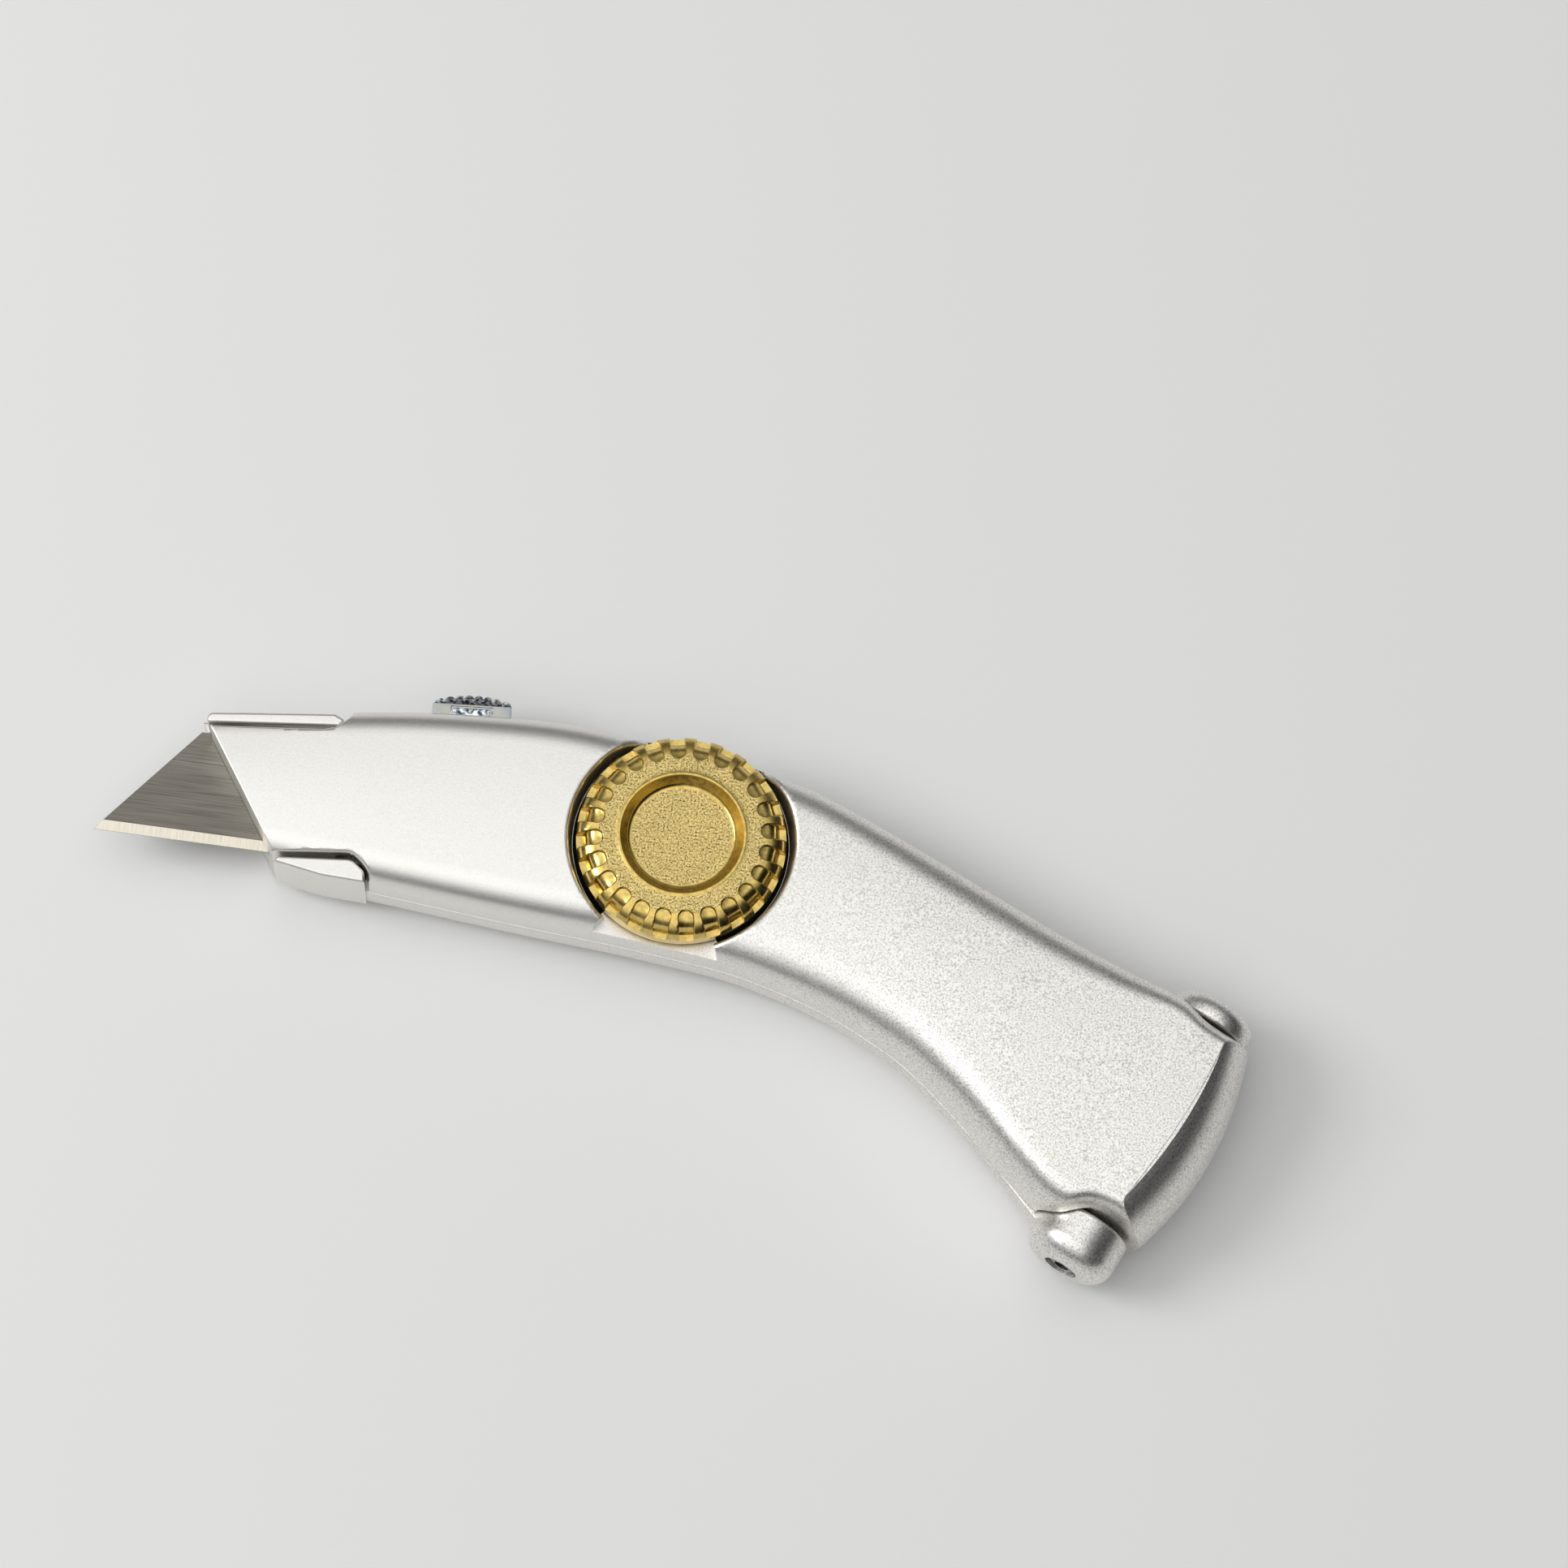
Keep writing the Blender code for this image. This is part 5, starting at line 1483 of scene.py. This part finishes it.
class KNIFE_OT_inside(Operator):
    """Finish the pieces inside the handle: slide, rail, store, clip, spring and small screws"""

    bl_idname = "knife.inside"
    bl_label = "Inner Pieces"

    def refined(self, name, width):
        """A copy of a frame node with merged faces and softened edges."""
        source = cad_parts[name]
        focus(source)
        copy = bpy.data.objects.new(f"{name}_finished", source.data.copy())
        bpy.context.scene.collection.objects.link(copy)
        copy.data.materials.clear()
        edit(copy)
        bpy.ops.mesh.select_all(action="SELECT")
        bpy.ops.mesh.remove_doubles(threshold=0.002 * MM)
        bpy.ops.mesh.select_all(action="SELECT")
        bpy.ops.mesh.dissolve_limited(angle_limit=radians(1.0))
        bpy.ops.object.mode_set(mode="OBJECT")
        return bevelled(copy, width * MM, 2, angle=40)

    def execute(self, context):
        looks = looks_of(context)
        spring = bpy.data.materials["rolled_spring_steel"]
        steel = bpy.data.materials["zinc_plated_stud_steel"]
        cast = plain_metal("raw_cast_zinc", looks.cast, 0.45, 0.35, depth=0.02, contrast=0.3)
        plastic = moulded_plastic(looks)
        rows = (
            ("blade_carrier", 0.25, cast, "slider", "carrier_zinc"),
            ("slide_rail", 0.12, spring, "body", "spring_steel"),
            ("rail_screw_front", 0.08, steel, "body", "screw_steel"),
            ("rail_screw_rear", 0.08, steel, "body", "screw_steel"),
            ("blade_store", 0.2, plastic, "body", "store_plastic"),
            ("store_clip", 0.08, spring, "body", "spring_steel"),
            ("clip_screw", 0.08, steel, "body", "screw_steel"),
            ("button_pin", 0.1, steel, "button", "screw_steel"),
        )
        for name, width, look, body, slot in rows:
            fitted(self.refined(name, width), look, body, slot, name)
        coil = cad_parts["button_spring"]
        coil.data.materials.clear()
        coil.data.materials.append(spring)
        return {"FINISHED"}


class KNIFE_OT_stage(Operator):
    """Add the pale floor, the soft light and the camera"""

    bl_idname = "knife.stage"
    bl_label = "Studio"

    def execute(self, context):
        deselect()
        bpy.ops.mesh.primitive_plane_add(size=6, location=(0, 0, -0.05 * MM))
        floor = settled("studio_floor")
        paper = bpy.data.materials.new("matt_white_paper")
        paper.use_nodes = True
        shader = paper.node_tree.nodes["Principled BSDF"]
        shader.inputs["Base Color"].default_value = linear("#ececeb")
        shader.inputs["Roughness"].default_value = 0.9
        floor.data.materials.append(paper)
        self.sky(context)
        self.lamp("key_light", (-0.95, -0.05, 0.85), 0.6, 6.0)
        self.camera(context)
        context.scene.view_settings.view_transform = "Standard"
        return {"FINISHED"}

    def sky(self, context):
        """A bright dome overhead, dim near the horizon and dark beyond the tail."""
        world = bpy.data.worlds.new("soft_dome")
        context.scene.world = world
        world.use_nodes = True
        tree = world.node_tree
        direction = node(tree, "ShaderNodeTexCoord").outputs["Generated"]
        shades = (
            # overhead: bright at the top and dim towards the horizon
            (
                (-0.15, -0.12, 0.98),
                ((0.0, 0.25), (0.12, 0.13), (0.38, 0.13), (0.62, 0.32), (0.80, 0.74), (0.93, 1.0)),
            ),
            # beyond the tail: a dark flag, which gives the tail its dark band
            ((0.93, -0.36, 0.0), ((0.30, 1.0), (0.62, 0.14), (1.0, 0.10))),
        )
        tones = []
        for heading, stops in shades:
            facing = node(tree, "ShaderNodeVectorMath", {"operation": "DOT_PRODUCT"}, {0: direction})
            facing.inputs[1].default_value = heading
            tone = node(tree, "ShaderNodeValToRGB", {"stops": stops}, {"Fac": facing.outputs["Value"]})
            tones.append(tone.outputs["Color"])
        both = node(tree, "ShaderNodeMix", MULTIPLIED, {"A": tones[0], "B": tones[1]})
        tree.links.new(both.outputs["Result"], tree.nodes["Background"].inputs["Color"])
        tree.nodes["Background"].inputs["Strength"].default_value = 1.28

    def lamp(self, name, place, size, power):
        deselect()
        bpy.ops.object.light_add(type="AREA", location=place)
        lamp = bpy.context.active_object
        lamp.name = name
        lamp.data.shape = "DISK"
        lamp.data.size = size
        lamp.data.energy = power
        lamp.rotation_euler = (-Vector(place)).to_track_quat("-Z", "Y").to_euler()

    def camera(self, context):
        """A long lens 800 mm away, tilted 17.8 degrees from straight above."""
        distance, turn, tilt, lean = 800.0, radians(8.05), radians(17.8), radians(11)
        level = Vector((cos(turn), sin(turn), 0))
        upright = Vector((-sin(turn), cos(turn), 0))
        back = Vector((0, 0, cos(tilt))) + sin(tilt) * (-cos(lean) * upright - sin(lean) * level)
        right = -level - back * (-level).dot(back)
        right = -right.normalized()
        up = back.cross(right)
        if up.dot(upright) < 0:
            up = -up
        place = Vector((0, 0, 20.5)) + right * 16.8 + up * 8.4 + back * distance
        deselect()
        bpy.ops.object.camera_add(location=place * MM)
        camera = bpy.context.active_object
        camera.name = "product_camera"
        camera.rotation_euler = Matrix((right, up, back)).transposed().to_euler()
        camera.data.lens = 111.5
        camera.data.sensor_width = 36.0
        camera.data.clip_start = 0.01
        context.scene.camera = camera


OPERATORS = (
    KNIFE_OT_stage,
    KNIFE_OT_far_half,
    KNIFE_OT_near_half,
    KNIFE_OT_knob,
    KNIFE_OT_button,
    KNIFE_OT_blades,
    KNIFE_OT_hinge_screws,
    KNIFE_OT_clamp,
    KNIFE_OT_inside,
)


class KNIFE_PT_panel(Panel):
    """Lists the pieces of the knife"""

    bl_idname = "KNIFE_PT_panel"
    bl_label = "Utility Knife"
    bl_space_type = "VIEW_3D"
    bl_region_type = "UI"
    bl_category = "Utility Knife"

    def draw(self, context):
        for operator in OPERATORS:
            self.layout.operator(operator.bl_idname)
        for group in (context.scene.knife_sizes, context.scene.knife_finishes):
            for name in group.bl_rna.properties.keys():
                if name not in ("rna_type", "name"):
                    self.layout.prop(group, name)


CLASSES = (KnifeSizes, KnifeFinishes, *OPERATORS, KNIFE_PT_panel)


def register():
    for item in CLASSES:
        bpy.utils.register_class(item)
    bpy.types.Scene.knife_sizes = PointerProperty(type=KnifeSizes)
    bpy.types.Scene.knife_finishes = PointerProperty(type=KnifeFinishes)


def unregister():
    del bpy.types.Scene.knife_sizes
    del bpy.types.Scene.knife_finishes
    for item in reversed(CLASSES):
        bpy.utils.unregister_class(item)


def main():
    register()
    for operator in OPERATORS:
        name = operator.bl_idname.split(".")[1]
        getattr(bpy.ops.knife, name)()


if __name__ == "__main__":
    main()
